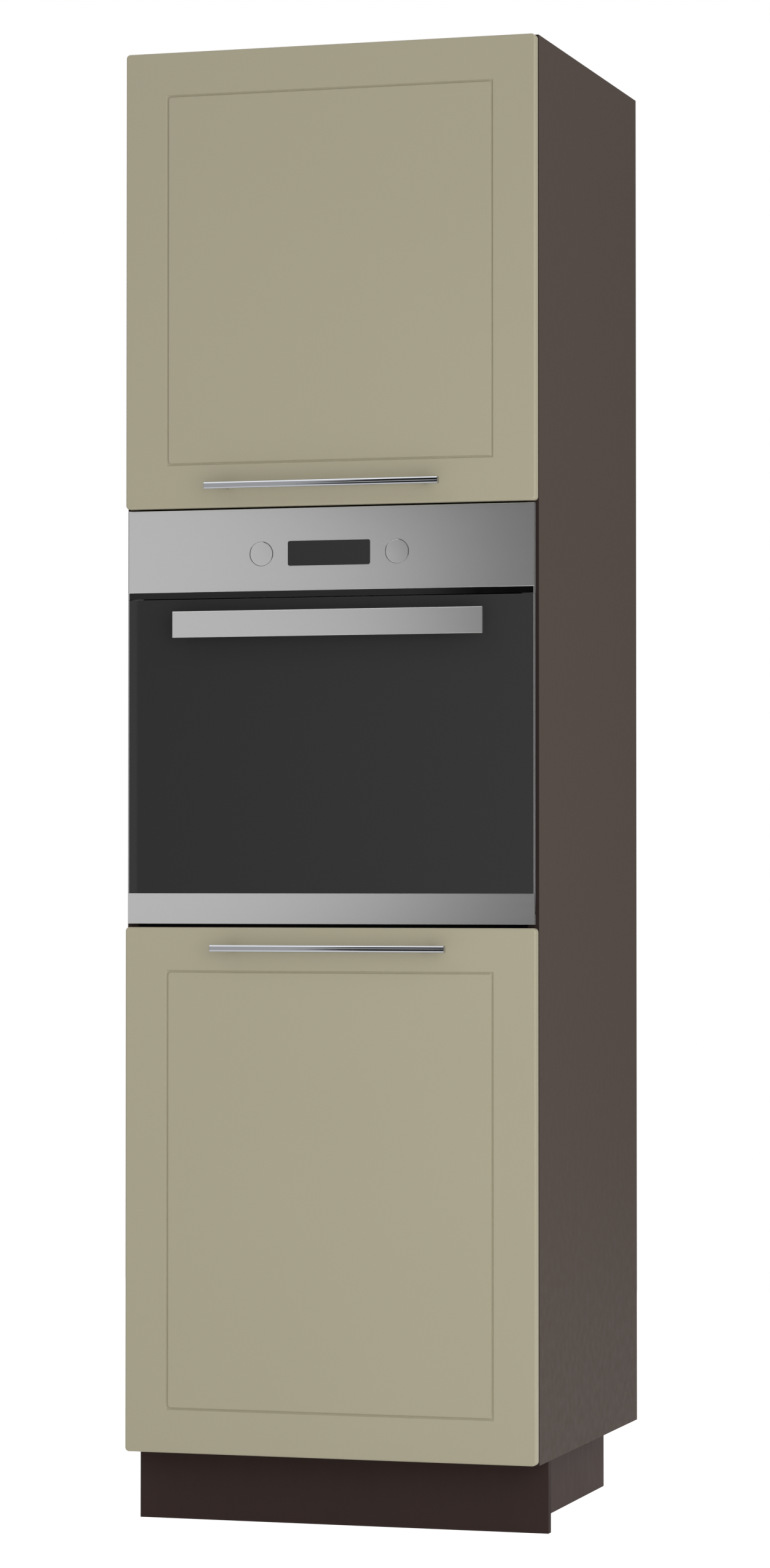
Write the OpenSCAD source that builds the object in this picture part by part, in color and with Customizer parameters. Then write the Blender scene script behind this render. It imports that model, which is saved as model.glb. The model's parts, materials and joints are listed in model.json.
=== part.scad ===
// Tall kitchen cabinet on a plinth, with a cupboard above and below a built-in oven.
// Millimetres, +Z up, front towards -Y. The origin is the middle of the base of the whole part.
// Inside the modules Y = 0 is the front edge of the side panels, and at_front() sets that in place.

/* [Cabinet] */
// Outer width
cab_w = 600; // [580:1:640]
// Depth of the side panels
cab_d = 570; // [566:1:620]
// Height from the floor to the top
cab_h = 2070; // [1960:1:2300]
// Thickness of the carcass boards
board_t = 16; // [15:0.5:18]
// Thickness of the back panels
back_t = 3; // [3:0.5:5]
// How far the back panels stand in from the rear edges
back_inset = 15; // [12:1:20]
// Depth of the grooves that hold the back panels
back_groove = 6; // [4:0.5:8]
// Height of the rail that is screwed to the wall
rail_h = 80; // [60:1:120]
// Distance between the wall screws
wall_pitch = 448; // [320:1:500]
// Diameter of the wall screw holes
wall_hole_d = 7; // [5:0.5:10]

/* [Plinth] */
// Height of the plinth
plinth_h = 100; // [80:1:150]
// How far the plinth's front stands back from the carcass front
plinth_setback = 52; // [30:1:80]
// Thickness of the plinth boards
plinth_t = 14; // [12:0.5:18]
// How far the plinth's sides stand in from the cabinet's sides
plinth_inset = 50; // [30:1:80]
// How far the plinth's front board stops short of the cabinet's sides
plinth_ends = 1; // [0.5:0.5:3]
// How far the plinth stops short of the rear edges
plinth_rear = 5; // [2:1:30]

/* [Doors] */
// Thickness of the doors
door_t = 16; // [16:0.5:20]
// Gap between a closed door and the carcass
door_gap = 2; // [2:0.1:3]
// How far a door stops short of the cabinet's left side, where it is hung
door_left = 2.5; // [2:0.1:3.5]
// How far a door stops short of the cabinet's right side
door_right = 0.5; // [0.3:0.1:2]
// How far a door stops short of the cabinet's top or bottom
door_reveal = 1; // [0.5:0.1:2]
// Height of the lower door
lower_door_h = 736; // [600:1:850]
// Radius of a door's front edges
door_edge_r = 2.5; // [1:0.5:4]
// Radius of a door's corners
door_corner_r = 5.5; // [3:0.5:10]
// Distance of the routed line from a door's edges
line_inset = 59.5; // [45:0.5:90]
// Width of the routed line
line_w = 4; // [2:0.5:6]
// Depth of the routed line
line_d = 1.6; // [0.8:0.2:2]
// Radius of the routed line's inner corners
line_corner_r = 5; // [2:0.5:10]
// Diameter of the door bumpers
bumper_d = 8; // [6:0.5:10]

/* [Door handles] */
// Length of a handle's bar
grip_l = 340; // [310:1:420]
// Side of the bar's square section
grip_s = 10; // [8:0.5:14]
// Distance between a handle's posts
grip_pitch = 288; // [192:1:296]
// How far the bar's front stands off the door
grip_reach = 30; // [26:1:36]
// Distance of the bar's middle from the door's edge beside it
grip_edge = 29; // [22:1:40]
// Diameter of the posts
grip_post_d = 8; // [6:0.5:8]
// Diameter of the handle screws
grip_screw_d = 4; // [3:0.5:4]
// Sideways place of the upper door's handle
upper_grip_x = -2; // [-30:1:30]
// Sideways place of the lower door's handle
lower_grip_x = 7; // [-30:1:30]

/* [Door hinges] */
// Diameter of a hinge cup
cup_d = 35; // [35:0.5:40]
// Depth of a hinge cup
cup_h = 13.5; // [13:0.1:13.5]
// Distance of a hinge cup from the door's edge
cup_edge = 3; // [2.5:0.1:3]
// Thickness of a cup's wall
cup_wall = 0.6; // [0.5:0.1:0.7]
// Distance between a cup's two dowels
cup_dowel_pitch = 45; // [43:0.5:48]
// Distance of the dowels from the cup's middle
cup_dowel_off = 9.5; // [6:0.5:9.5]
// Diameter of the dowels
cup_dowel_d = 10; // [8:0.5:10]
// Length of the dowels
cup_dowel_l = 9; // [8:0.5:11]
// Diameter of a hinge pin
pin_d = 2.2; // [2:0.1:2.3]
// Length of a hinge pin
pin_l = 14; // [13:0.5:15]
// Distance of the pin from a cup's outer wall
pin_off = 3.2; // [3:0.1:3.2]
// Distance of a hinge from the door's end
hinge_end = 100; // [85:1:140]
// Distance of the mounting plate's screws from the carcass front
plate_setback = 37; // [35:1:45]
// Distance between the mounting plate's screws
plate_pitch = 32; // [28:1:40]
// Radial clearance of a pin or shaft that turns
running_gap = 0.05; // [0.02:0.01:0.1]

/* [Shelves] */
// Height of the upper shelf above the panel over the oven
upper_shelf_z = 300; // [180:1:380]
// Height of the lower shelf above the bottom panel
lower_shelf_z = 350; // [200:1:450]
// Gap at each end of an adjustable shelf
shelf_gap = 1; // [0.5:0.1:2]
// How far an adjustable shelf stands back from the carcass front
shelf_setback = 20; // [10:1:60]
// Diameter of the shelf pins
peg_d = 5; // [4:0.5:6]
// How deep a shelf pin sits in the side
peg_in = 8; // [6:0.5:10]
// How far a shelf pin stands out of the side
peg_out = 8; // [6:0.5:10]
// Distance of the shelf pins from the shelf's front and back
peg_margin = 55; // [45:1:90]
// Pitch of the row of shelf pin holes
peg_pitch = 32; // [25:1:40]

/* [Board joints] */
// Diameter of the cam locks
cam_d = 15; // [12:0.5:18]
// Depth of the cam locks
cam_h = 12; // [10:0.5:12.5]
// Distance of a cam lock from the board's end
cam_in = 34; // [24:1:40]
// Diameter of the cam bolts
bolt_d = 7; // [5:0.5:8]
// How deep a cam bolt sits in the side panel
bolt_in = 11; // [8:0.5:12]
// Distance of the cam locks from a board's front and back
cam_margin = 90; // [70:1:120]

/* [Oven outside] */
// Height of the oven's front
oven_h = 581; // [560:1:640]
// How far the oven's front stands proud of the carcass front
oven_proud = 10; // [10:0.5:14]
// Gap between the oven's front and the cabinet's outline, each side
oven_margin = 4; // [3:0.5:6]
// Gap between the lower door and the oven's front
gap_under_oven = 5; // [3:0.5:8]
// Gap between the oven's front and the upper door
gap_over_oven = 2.5; // [2:0.5:5]
// Height of the control panel
panel_h = 115.5; // [100:0.5:130]
// Height of the air slot under the control panel
slot_h = 10; // [8:0.5:14]
// Height of the door's bottom strip
strip_h = 42.5; // [36:0.5:60]
// Thickness of the sheet metal on the oven's front
sheet_t = 1.2; // [0.8:0.1:1.4]
// Thickness of the flange that is screwed to the side panels
flange_t = 1.5; // [1:0.1:1.6]
// Gap between the oven's casing and the niche
niche_gap = 6; // [4:0.5:12]
// Depth of the oven's casing behind the carcass front
casing_d = 530; // [525:1:535]
// Thickness of the casing's sheet metal
casing_t = 1.5; // [1:0.1:2]

/* [Oven controls] */
// Height of the knobs and display below the top of the oven's front
control_drop = 63.5; // [50:0.5:70]
// Diameter of the knobs
knob_d = 33; // [28:0.5:40]
// How much of a knob stays behind the panel when it is out
knob_stay = 10; // [8:0.5:12]
// Distance of each knob from the middle
knob_x = 99; // [90:0.5:140]
// Gap round a knob
knob_gap = 0.5; // [0.4:0.1:1]
// How far a knob pops out
knob_travel = 14; // [10:0.5:16]
// Diameter of the knob spindles
spindle_d = 6; // [5:0.5:8]
// Width of the display
display_w = 120; // [90:1:140]
// Height of the display
display_h = 35; // [25:0.5:45]
// Radius of the display's corners
display_r = 3; // [1:0.5:6]
// Gap round the display
display_gap = 0.2; // [0.1:0.1:0.6]

/* [Oven door] */
// Thickness of the outer glass
glass_t = 4; // [3:0.5:4]
// Thickness of the inner glass
inner_glass_t = 4; // [3:0.5:5]
// How far the door reaches into the niche
door_in = 26; // [22:1:34]
// Distance of the hinge pin from the door's front and bottom
oven_pin_in = 4; // [4:0.1:4.2]
// Diameter of the door's hinge pins
oven_pin_d = 3; // [2:0.1:3]
// Distance of the hinges from the casing's inner sides
oven_hinge_in = 5; // [4.5:0.5:8.5]
// How far the window in the door's frame stops short of the cavity's sides
window_side = 20; // [5:1:50]
// How far the window stops short of the cavity's floor and roof
window_end = 5; // [2:1:40]
// Length of the oven's handle
bar_l = 450; // [380:1:500]
// Height of the handle's bar
bar_h = 36.5; // [24:0.5:42]
// Thickness of the handle's bar
bar_t = 4; // [3:0.5:6]
// Clear space behind the handle's bar
bar_gap = 30; // [26:1:34]
// Distance of the handle's middle below the top of the door
bar_drop = 37; // [30:0.5:60]
// Sideways place of the handle
bar_x = 6; // [-20:1:20]
// Distance of a handle post from the bar's end
bar_post_end = 34; // [20:1:60]

/* [Oven cavity] */
// Distance of the cavity's sides from the casing's inner sides
cavity_side = 46.5; // [41.5:0.5:56.5]
// Distance of the cavity's roof below the floor of the controls
cavity_over = 50; // [45:1:60]
// Inside depth of the cavity
cavity_d = 412; // [400:1:415]
// Height of the cavity's floor above the oven shelf
cavity_base = 54; // [48:1:58]
// Thickness of the insulation
wool_t = 22; // [16:1:24]
// Height of the door seal
seal_t = 4; // [3:0.5:6]
// Width of the door seal
seal_w = 10; // [8:0.5:14]
// Number of rack levels
rack_levels = 5; // [3:1:5]
// Distance between rack levels
rack_pitch = 55; // [45:1:58]
// Height of the lowest rack level above the cavity's floor
rack_first = 38; // [30:1:50]
// Diameter of the rack supports' wire
wire_d = 5; // [4:0.5:6]
// Number of bars across the wire rack
rack_bars = 15; // [9:1:21]
// Depth of the baking tray
tray_h = 32; // [20:1:40]
// Thickness of the baking tray
tray_t = 1.5; // [1:0.1:2]
// Diameter of the heating elements
heater_d = 6.5; // [5:0.5:8]
// Radius of the fan
fan_r = 58; // [45:1:62]
// Number of fan blades
fan_blades = 10; // [6:1:14]
// Diameter of the fan's shaft
shaft_d = 8; // [6:0.5:10]

/* [Mains connection] */
// Width of the terminal box
terminal_w = 60; // [40:1:80]
// Height of the terminal box
terminal_h = 44; // [30:1:60]
// Depth of the terminal box
terminal_d = 16; // [10:1:18]
// Length of the cord gland
gland_l = 16; // [8:1:16]
// Outer diameter of the cord gland
gland_d = 18; // [15:0.5:24]
// Diameter of the bore for the lead
lead_d = 10; // [7:0.5:12]
// Distance of the gland from the casing's side and top
gland_in = 60; // [45:1:120]

/* [Hidden] */
$fn = 48;

// Overlap that joins two shapes, how far a cut runs past a face, and the gap to a moving piece
eps = 0.01;
past = 1;
slack = 0.3;

// Colours of the finishes
c_board = "#54493f";
c_plinth = "#33291f";
c_door = "#a8a48c";
c_chrome = "#c4c7ca";
c_steel = "#a9a9a9";
c_glass = "#303030";
c_enamel = "#26282b";
c_zinc = "#9a9c9f";

// Sides of the carcass
half_w = cab_w / 2;
in_x = half_w - board_t;
back_y = cab_d - back_inset - back_t;

// Doors
door_x0 = -half_w + door_left;
door_x1 = half_w - door_right;
door_w = door_x1 - door_x0;
door_mid = (door_x0 + door_x1) / 2;
door_back = -door_gap;
door_front = -door_gap - door_t;
lower_z0 = plinth_h + door_reveal;
lower_z1 = lower_z0 + lower_door_h;
oven_z0 = lower_z1 + gap_under_oven;
oven_z1 = oven_z0 + oven_h;
upper_z0 = oven_z1 + gap_over_oven;
upper_z1 = cab_h - door_reveal;
lower_grip_z = lower_z1 - grip_edge;
upper_grip_z = upper_z0 + grip_edge;
lower_hinge_zs = [lower_z0 + hinge_end, lower_z1 - hinge_end];
upper_hinge_zs = [upper_z0 + hinge_end, upper_z1 - hinge_end];
hinge_zs = concat(upper_hinge_zs, lower_hinge_zs);
bumper_end = 30;
grip_edge_r = 2.5;
grip_screw_head = 1.2;

// Fixed boards
bottom_z1 = plinth_h + board_t;
lap_low = 4;
lap_high = 5;
shelf_top = oven_z0 + lap_low;
niche_top = oven_z1 - lap_high;
top_z0 = cab_h - board_t;
fixed_boards = [top_z0, niche_top, shelf_top - board_t, plinth_h];
upper_shelf_floor = niche_top + board_t + upper_shelf_z;
lower_shelf_floor = bottom_z1 + lower_shelf_z;
shelf_floors = [upper_shelf_floor, lower_shelf_floor];
peg_rows = 2;
peg_ys = [shelf_setback + peg_margin, back_y - shelf_gap - peg_margin];
cam_ys = [cam_margin, back_y - cam_margin];

// Plinth
plinth_y1 = plinth_setback + plinth_t;
plinth_end = cab_d - plinth_rear;
plinth_x = half_w - plinth_inset;
plinth_front_x = half_w - plinth_ends;

// Door hinges: the pin lies so deep that the door's corner swings clear of the side panel
cup_x = door_x0 + cup_edge + cup_d / 2;
pin_edge = cup_edge + pin_off;
pin_x = door_x0 + pin_edge;
pin_y = -(pow(pin_edge, 2) + pow(door_gap, 2)) / (2 * (door_gap - slack));
pin_r = pin_d / 2;
cup_r = cup_d / 2;
cup_in_r = cup_r - cup_wall;
cup_floor_y = door_back - cup_h;
cup_flange_t = 1;
cup_flange_reach = 14;
lug_t = 1.8;
lug_wall = 0.8;
lug_r = pin_r + lug_wall;
arm_half_z = 3.5;
arm_eye_wall = 0.7;
arm_eye_r = pin_r + arm_eye_wall;
arm_under_pin = 0.4;
arm_low_y = pin_y - arm_eye_r;
arm_high_y = pin_y - arm_under_pin;
arm_cross = 13.5;
arm_bend_x = pin_x + arm_cross;
arm_t = 2.4;
arm_tail = 10;
plate_base_t = 2;
plate_half_y = 10;
plate_y0 = plate_setback - plate_half_y;
plate_y1 = plate_setback + plate_half_y;
plate_end = 8;
plate_half_z = plate_pitch / 2 + plate_end;
plate_screw_r = 3;
plate_screw_l = 10;
plate_screw_head_r = 4.5;
plate_screw_head = 1.6;

// Oven outside
oven_x = half_w - oven_margin;
oven_y = -oven_proud;
strip_z1 = oven_z0 + strip_h;
panel_z0 = oven_z1 - panel_h;
glass_z1 = panel_z0 - slot_h;
casing_x = in_x - niche_gap;
casing_z1 = niche_top - niche_gap;
casing_in_x = casing_x - casing_t;
casing_in_y = casing_d - casing_t;
casing_in_z = casing_z1 - casing_t;
bay_drop = 7.5;
bay_z = glass_z1 - bay_drop;
bay_top = bay_z + casing_t;
bay_y0 = 0.5;
flange_in = 2;
flange_x = oven_x - flange_in;
flange_screw_x = (in_x + flange_x) / 2;
flange_screw_end = 60;
flange_screw_r = 1.75;
flange_screw_l = 20;
flange_head_r = 3;
flange_head = 0.8;
grille_y0 = 1;
grille_t = 3;
grille_lap = 4;
grille_slots = 22;
grille_margin = 8;
grille_open = 0.7;
grille_bar = 1.5;
grille_rib_t = 2;
slot_outlet = 1.2;
slot_strip_z0 = glass_z1 + slot_outlet;
slot_strip_x = oven_x - sheet_t - slack;
slot_strip_t = 2;
slot_strip_y0 = oven_y + slack;
slot_strip_y1 = slot_strip_y0 + slot_strip_t;
slot_tab_gap = 0.5;

// Oven controls
control_z = oven_z1 - control_drop;
knob_l = knob_travel + knob_stay;
knob_r = knob_d / 2;
knob_wall = 2;
hub_wall = 2;
spindle_r = spindle_d / 2;
hub_r = spindle_r + hub_wall;
spindle_flat = 0.7 * spindle_r;
spindle_gap = 0.5;
spindle_y0 = oven_y + knob_wall + spindle_gap;
panel_in_y = oven_y + sheet_t;
knob_room = 4.5;
bracket_y = oven_y + knob_l + knob_room;
bracket_side = 40;
bracket_over = 28;
collar_r = knob_r + knob_gap;
collar_wall = 2;
switch_y = bracket_y + casing_t;
switch_l = 24;
switch_half = 16;
switch_floor = 4;
display_t = 3;
display_rim = 4;

// Oven door
door_plate_y0 = oven_y + glass_t;
door_plate_gap = 1.3;
door_plate_lift = 10;
door_plate_y1 = -flange_t - door_plate_gap;
door_plate_z0 = oven_z0 + oven_pin_in + door_plate_lift;
oven_pin_y = oven_y + oven_pin_in;
oven_pin_z = oven_z0 + oven_pin_in;
oven_pin_r = oven_pin_d / 2;
oven_eye_r = oven_pin_in - sheet_t - slack;
oven_hinge_x = casing_in_x - oven_hinge_in;
hinge_leaf_t = 3;
hinge_lug_gap = 0.5;
leaf_lift = 0.2;
leaf_low_h = 4;
leaf_h = 34;
inner_low = 16;
inner_high = 4;
inner_x = oven_hinge_x - 1.5 * hinge_leaf_t - 2 * hinge_lug_gap;
inner_z0 = oven_z0 + inner_low;
inner_z1 = bay_z - inner_high;
rim_y = door_in - inner_glass_t;
bar_z = glass_z1 - bar_drop;
bar_back = oven_y - bar_gap;
bar_post_w = 12;
bar_post_h = 20;

// Cavity
cav_x = casing_in_x - cavity_side;
cav_z0 = shelf_top + cavity_base;
cav_z1 = bay_z - cavity_over;
cavity_w = 2 * cav_x;
cavity_h = cav_z1 - cav_z0;
cav_mid_z = (cav_z0 + cav_z1) / 2;
front_frame_y = door_in + seal_t + slack;
cav_y0 = front_frame_y + casing_t;
cav_y1 = cav_y0 + cavity_d;
liner_y1 = cav_y1 + casing_t;
window_x = cav_x - window_side;
window_z0 = cav_z0 + window_end;
window_z1 = cav_z1 - window_end;
seal_lip = 2;
fan_room = 40;
fan_cover_y = cav_y1 - fan_room;
rail_side = 12;
rail_front = 14;
rail_rear = 6;
rail_x = cav_x - rail_side;
rail_y0 = cav_y0 + rail_front;
rail_y1 = fan_cover_y - rail_rear;
wire_r = wire_d / 2;
stud_r = 0.8 * wire_r;
post_gap = 0.5;
post_x = rail_x + 2 * wire_r + post_gap;
post_in = 30;
post_over = 14;
post_stud_over = 10;
rack_level = floor(rack_levels / 2);
rack_bar_r = 1.25;
rack_end = 4;
tray_level = 0;
tray_rim = 8;

// Heating and air
heater_r = heater_d / 2;
top_heater_drop = 16;
top_heater_front = 90;
top_heater_l = 210;
top_heater_bend = 30;
top_heater_z = cav_z1 - top_heater_drop;
top_heater_y0 = cav_y0 + top_heater_front;
top_heater_y1 = top_heater_y0 + top_heater_l;
fan_in = 14;
fan_y = fan_cover_y + fan_in;
fan_depth = 14;
fan_sheet = 1.2;
fan_blade_t = 1.6;
fan_hub_r = 14;
ring_gap = 16;
ring_in = 6;
ring_r = fan_r + ring_gap;
ring_y = fan_y + ring_in;
ring_lead_x = 20;
fan_cover_x = 112;
fan_cover_z = 104;
cover_t = 1.5;
cover_slots = 4;
cover_slot_pitch = 11;
cover_slot_w = 6;
cover_slots_r = 50;
shaft_r = shaft_d / 2;
motor_r = 28;
motor_l = 46;
motor_end = 6;
motor_bore_l = motor_l - motor_end;
motor_room = 4;
lamp_in = 44;
lamp_x = -cav_x + lamp_in;
lamp_z = cav_z1 - lamp_in;
lamp_r = 20;
lamp_cap = 6;
lamp_holder_r = 14;
lamp_room = 2;

// Mains connection
gland_x = -casing_x + gland_in;
gland_z = casing_z1 - gland_in;
lead_r = lead_d / 2;
lead_room = 2;

// How far the part reaches in front of the side panels, and where that puts their front edges
front_reach = max(grip_reach - door_front, bar_gap + bar_t - oven_y);
front_y = (front_reach - cab_d) / 2;

// ---------- shapes that repeat ----------

module at_front() {
  translate([0, front_y, 0]) children();
}

// A block from one corner to the opposite one
module block(a, b) {
  translate(a) cube([b[0] - a[0], b[1] - a[1], b[2] - a[2]]);
}

// Round bars that start at p and run along +X, +Y or +Z
module rod_x(p, r, l) {
  translate(p) rotate([0, 90, 0]) cylinder(h = l, r = r);
}

module rod_y(p, r, l) {
  translate(p) rotate([-90, 0, 0]) cylinder(h = l, r = r);
}

module rod_z(p, r, l) {
  translate(p) cylinder(h = l, r = r);
}

module both_sides() {
  children();
  mirror([1, 0, 0]) children();
}

// A rectangle in X and Z, drawn round its middle, with round corners
module soft_rect(w, h, r) {
  square([w - 2 * r, h], center = true);
  square([w, h - 2 * r], center = true);
  for (sx = [-1, 1], sz = [-1, 1])
    translate([sx * (w / 2 - r), sz * (h / 2 - r)]) circle(r = r);
}

// Stands a flat drawing up in X and Z at the middle c, and gives it depth along +Y from c
module upright(c, depth) {
  translate([c[0], c[1] + depth, c[2]]) rotate([90, 0, 0]) linear_extrude(height = depth) children();
}

// A rectangular tube along Y: outer half width, heights, ends and wall
module sleeve_y(x, z0, z1, y0, y1, wall) {
  difference() {
    block([-x, y0, z0], [x, y1, z1]);
    block([-x + wall, y0 - 1, z0 + wall], [x - wall, y1 + 1, z1 - wall]);
  }
}

// ---------- carcass ----------

// Holes in a side panel, drawn for the left side
module side_holes() {
  block([-in_x - back_groove, back_y, plinth_h - past],
    [-in_x + past, back_y + back_t, cab_h + past]);
  for (z = fixed_boards, y = cam_ys)
    rod_x([-in_x - bolt_in, y, z + board_t / 2], bolt_d / 2, bolt_in + past);
  for (z = shelf_floors, y = peg_ys, k = [-peg_rows:peg_rows])
    rod_x([-in_x - peg_in, y, z - peg_d / 2 + k * peg_pitch], peg_d / 2, peg_in + past);
}

module side_panel_left() {
  color(c_board) at_front() difference() {
    block([-half_w, 0, plinth_h], [-in_x, cab_d, cab_h]);
    side_holes();
    for (z = hinge_zs, s = [-1, 1])
      rod_x([-in_x - plate_screw_l, plate_setback, z + s * plate_pitch / 2], plate_screw_r,
        plate_screw_l + past);
    flange_screw_sites(-1) rod_y([0, -past, 0], flange_screw_r, flange_screw_l + past);
  }
}

module side_panel_right() {
  color(c_board) at_front() difference() {
    block([in_x, 0, plinth_h], [half_w, cab_d, cab_h]);
    mirror([1, 0, 0]) side_holes();
    flange_screw_sites(1) rod_y([0, -past, 0], flange_screw_r, flange_screw_l + past);
  }
}

// A board between the sides, with its cam lock and cam bolt holes
module fixed_board(z) {
  color(c_board) at_front() difference() {
    block([-in_x, 0, z], [in_x, back_y, z + board_t]);
    both_sides() for (y = cam_ys) {
      rod_z([-in_x + cam_in, y, z - past], cam_d / 2, cam_h + past);
      rod_x([-in_x - past, y, z + board_t / 2], bolt_d / 2, cam_in + past);
    }
  }
}

module top_panel() {
  fixed_board(top_z0);
}

module niche_top_panel() {
  fixed_board(niche_top);
}

module oven_shelf() {
  fixed_board(shelf_top - board_t);
}

module bottom_panel() {
  fixed_board(plinth_h);
}

// Each fitting is a bolt in the side panel and the lock in the board that grips its end
module cam_fittings() {
  color(c_zinc) at_front() both_sides() for (z = fixed_boards, y = cam_ys) {
    rod_x([-in_x - bolt_in, y, z + board_t / 2], bolt_d / 2, bolt_in + cam_in - cam_d / 2);
    rod_z([-in_x + cam_in, y, z], cam_d / 2, cam_h);
  }
}

module back_sheet(z0, z1) {
  x = in_x + back_groove;
  block([-x, back_y, z0], [x, back_y + back_t, z1]);
}

// Screw holes through the rail and the back panel
module wall_holes() {
  for (s = [-1, 1])
    rod_y([s * wall_pitch / 2, back_y - board_t - past, top_z0 - rail_h / 2], wall_hole_d / 2,
      board_t + back_t + 2 * past);
}

module upper_back_panel() {
  color(c_board) at_front() difference() {
    back_sheet(niche_top, cab_h);
    wall_holes();
  }
}

module lower_back_panel() {
  color(c_board) at_front() back_sheet(plinth_h, shelf_top);
}

module wall_rail() {
  color(c_board) at_front() difference() {
    block([-in_x, back_y - board_t, top_z0 - rail_h], [in_x, back_y, top_z0]);
    wall_holes();
  }
}

module loose_shelf(z) {
  x = in_x - shelf_gap;
  color(c_board) at_front()
    block([-x, shelf_setback, z], [x, back_y - shelf_gap, z + board_t]);
}

module upper_shelf() {
  loose_shelf(upper_shelf_floor);
}

module lower_shelf() {
  loose_shelf(lower_shelf_floor);
}

module shelf_pins() {
  color(c_zinc) at_front() both_sides() for (z = shelf_floors, y = peg_ys)
    rod_x([-in_x - peg_in, y, z - peg_d / 2], peg_d / 2, peg_in + peg_out);
}

// ---------- plinth ----------

module plinth_front() {
  color(c_plinth) at_front()
    block([-plinth_front_x, plinth_setback, 0], [plinth_front_x, plinth_y1, plinth_h]);
}

module plinth_sides() {
  color(c_plinth) at_front() both_sides()
    block([-plinth_x, plinth_y1, 0], [-plinth_x + plinth_t, plinth_end, plinth_h]);
}

module plinth_back() {
  x = plinth_x - plinth_t;
  color(c_plinth) at_front()
    block([-x, plinth_end - plinth_t, 0], [x, plinth_end, plinth_h]);
}

// ---------- door hinges ----------

// A cup with its flange, dowels and the two lugs that hold the pin
module hinge_cup(z) {
  translate([0, 0, z]) {
    difference() {
      union() {
        rod_y([cup_x, cup_floor_y, 0], cup_r, cup_h);
        block([cup_x - cup_in_r, door_back, -plate_half_z],
          [cup_x + cup_flange_reach, door_back + cup_flange_t, plate_half_z]);
      }
      rod_y([cup_x, cup_floor_y + cup_wall, 0], cup_in_r, cup_h + cup_flange_t);
    }
    for (s = [-1, 1]) {
      cup_dowel(s, eps);
      hinge_lug(s);
    }
  }
}

// One dowel, from its depth in the door to a little over the door's back
module cup_dowel(s, over) {
  rod_y([cup_x + cup_dowel_off, door_back - cup_dowel_l, s * cup_dowel_pitch / 2],
    cup_dowel_d / 2, cup_dowel_l + over);
}

// One lug, from the cup's wall to round the pin
module hinge_lug(s) {
  z0 = s > 0 ? arm_half_z + slack : -arm_half_z - slack - lug_t;
  wall_x = cup_x - sqrt(pow(cup_r - cup_wall / 2, 2) - pow(arm_half_z + slack, 2));
  difference() {
    union() {
      rod_z([pin_x, pin_y, z0], lug_r, lug_t);
      block([wall_x, pin_y - lug_r, z0], [pin_x, pin_y + lug_r, z0 + lug_t]);
    }
    rod_z([pin_x, pin_y, z0 - past], pin_r, lug_t + 2 * past);
  }
}

// What a cup takes out of the door
module cup_seat(z) {
  translate([0, 0, z]) {
    rod_y([cup_x, cup_floor_y, 0], cup_r, cup_h + past);
    for (s = [-1, 1]) cup_dowel(s, past);
  }
}

module hinge_pin(z) {
  rod_z([pin_x, pin_y, z - pin_l / 2], pin_r, pin_l);
}

module upper_hinge_cups() {
  color(c_zinc) at_front() for (z = upper_hinge_zs) hinge_cup(z);
}

module lower_hinge_cups() {
  color(c_zinc) at_front() for (z = lower_hinge_zs) hinge_cup(z);
}

module upper_hinge_pins() {
  color(c_steel) at_front() for (z = upper_hinge_zs) hinge_pin(z);
}

module lower_hinge_pins() {
  color(c_steel) at_front() for (z = lower_hinge_zs) hinge_pin(z);
}

// The arm goes from the pin across the cup, out past the side panel's edge, and on to its plate
module hinge_arm(z) {
  arm_top_x = arm_bend_x + arm_t;
  translate([0, 0, z]) difference() {
    union() {
      rod_z([pin_x, pin_y, -arm_half_z], arm_eye_r, 2 * arm_half_z);
      block([pin_x, arm_low_y, -arm_half_z], [arm_top_x, arm_high_y, arm_half_z]);
      block([arm_bend_x, arm_low_y, -arm_half_z], [arm_top_x, plate_y1 + arm_tail, arm_half_z]);
    }
    rod_z([pin_x, pin_y, -arm_half_z - past], pin_r + running_gap, 2 * (arm_half_z + past));
  }
}

module hinge_arms() {
  color(c_zinc) at_front() for (z = hinge_zs) hinge_arm(z);
}

// A flat base on the side panel, with a raised seat that the arm is clamped to
module hinge_plates() {
  color(c_zinc) at_front() for (z = hinge_zs) translate([0, 0, z]) difference() {
    union() {
      block([-in_x, plate_y0, -plate_half_z], [-in_x + plate_base_t, plate_y1, plate_half_z]);
      block([-in_x, plate_y0, -arm_half_z], [arm_bend_x, plate_y1 + arm_tail, arm_half_z]);
    }
    for (s = [-1, 1])
      rod_x([-in_x - past, plate_setback, s * plate_pitch / 2], plate_screw_r,
        plate_base_t + 2 * past);
  }
}

// The screws that go into the side panels: two in each hinge plate, four in the oven's flange
module wood_screws() {
  color(c_zinc) at_front() {
    for (z = hinge_zs, s = [-1, 1])
      translate([-in_x, plate_setback, z + s * plate_pitch / 2]) {
        rod_x([-plate_screw_l, 0, 0], plate_screw_r, plate_base_t + plate_screw_l);
        rod_x([plate_base_t, 0, 0], plate_screw_head_r, plate_screw_head);
      }
    for (s = [-1, 1]) flange_screw_sites(s) {
      rod_y([0, -flange_t - flange_head, 0], flange_head_r, flange_head);
      rod_y([0, -flange_t - eps, 0], flange_screw_r, flange_t + flange_screw_l + eps);
    }
  }
}

module door_bumpers() {
  color("#d8d8d4") at_front()
    for (z = [lower_z0 + bumper_end, lower_z1 - bumper_end, upper_z0 + bumper_end, upper_z1 - bumper_end])
      rod_y([(in_x + half_w) / 2, slack - door_gap, z], bumper_d / 2, door_gap - slack);
}

// ---------- cabinet doors ----------

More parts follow.
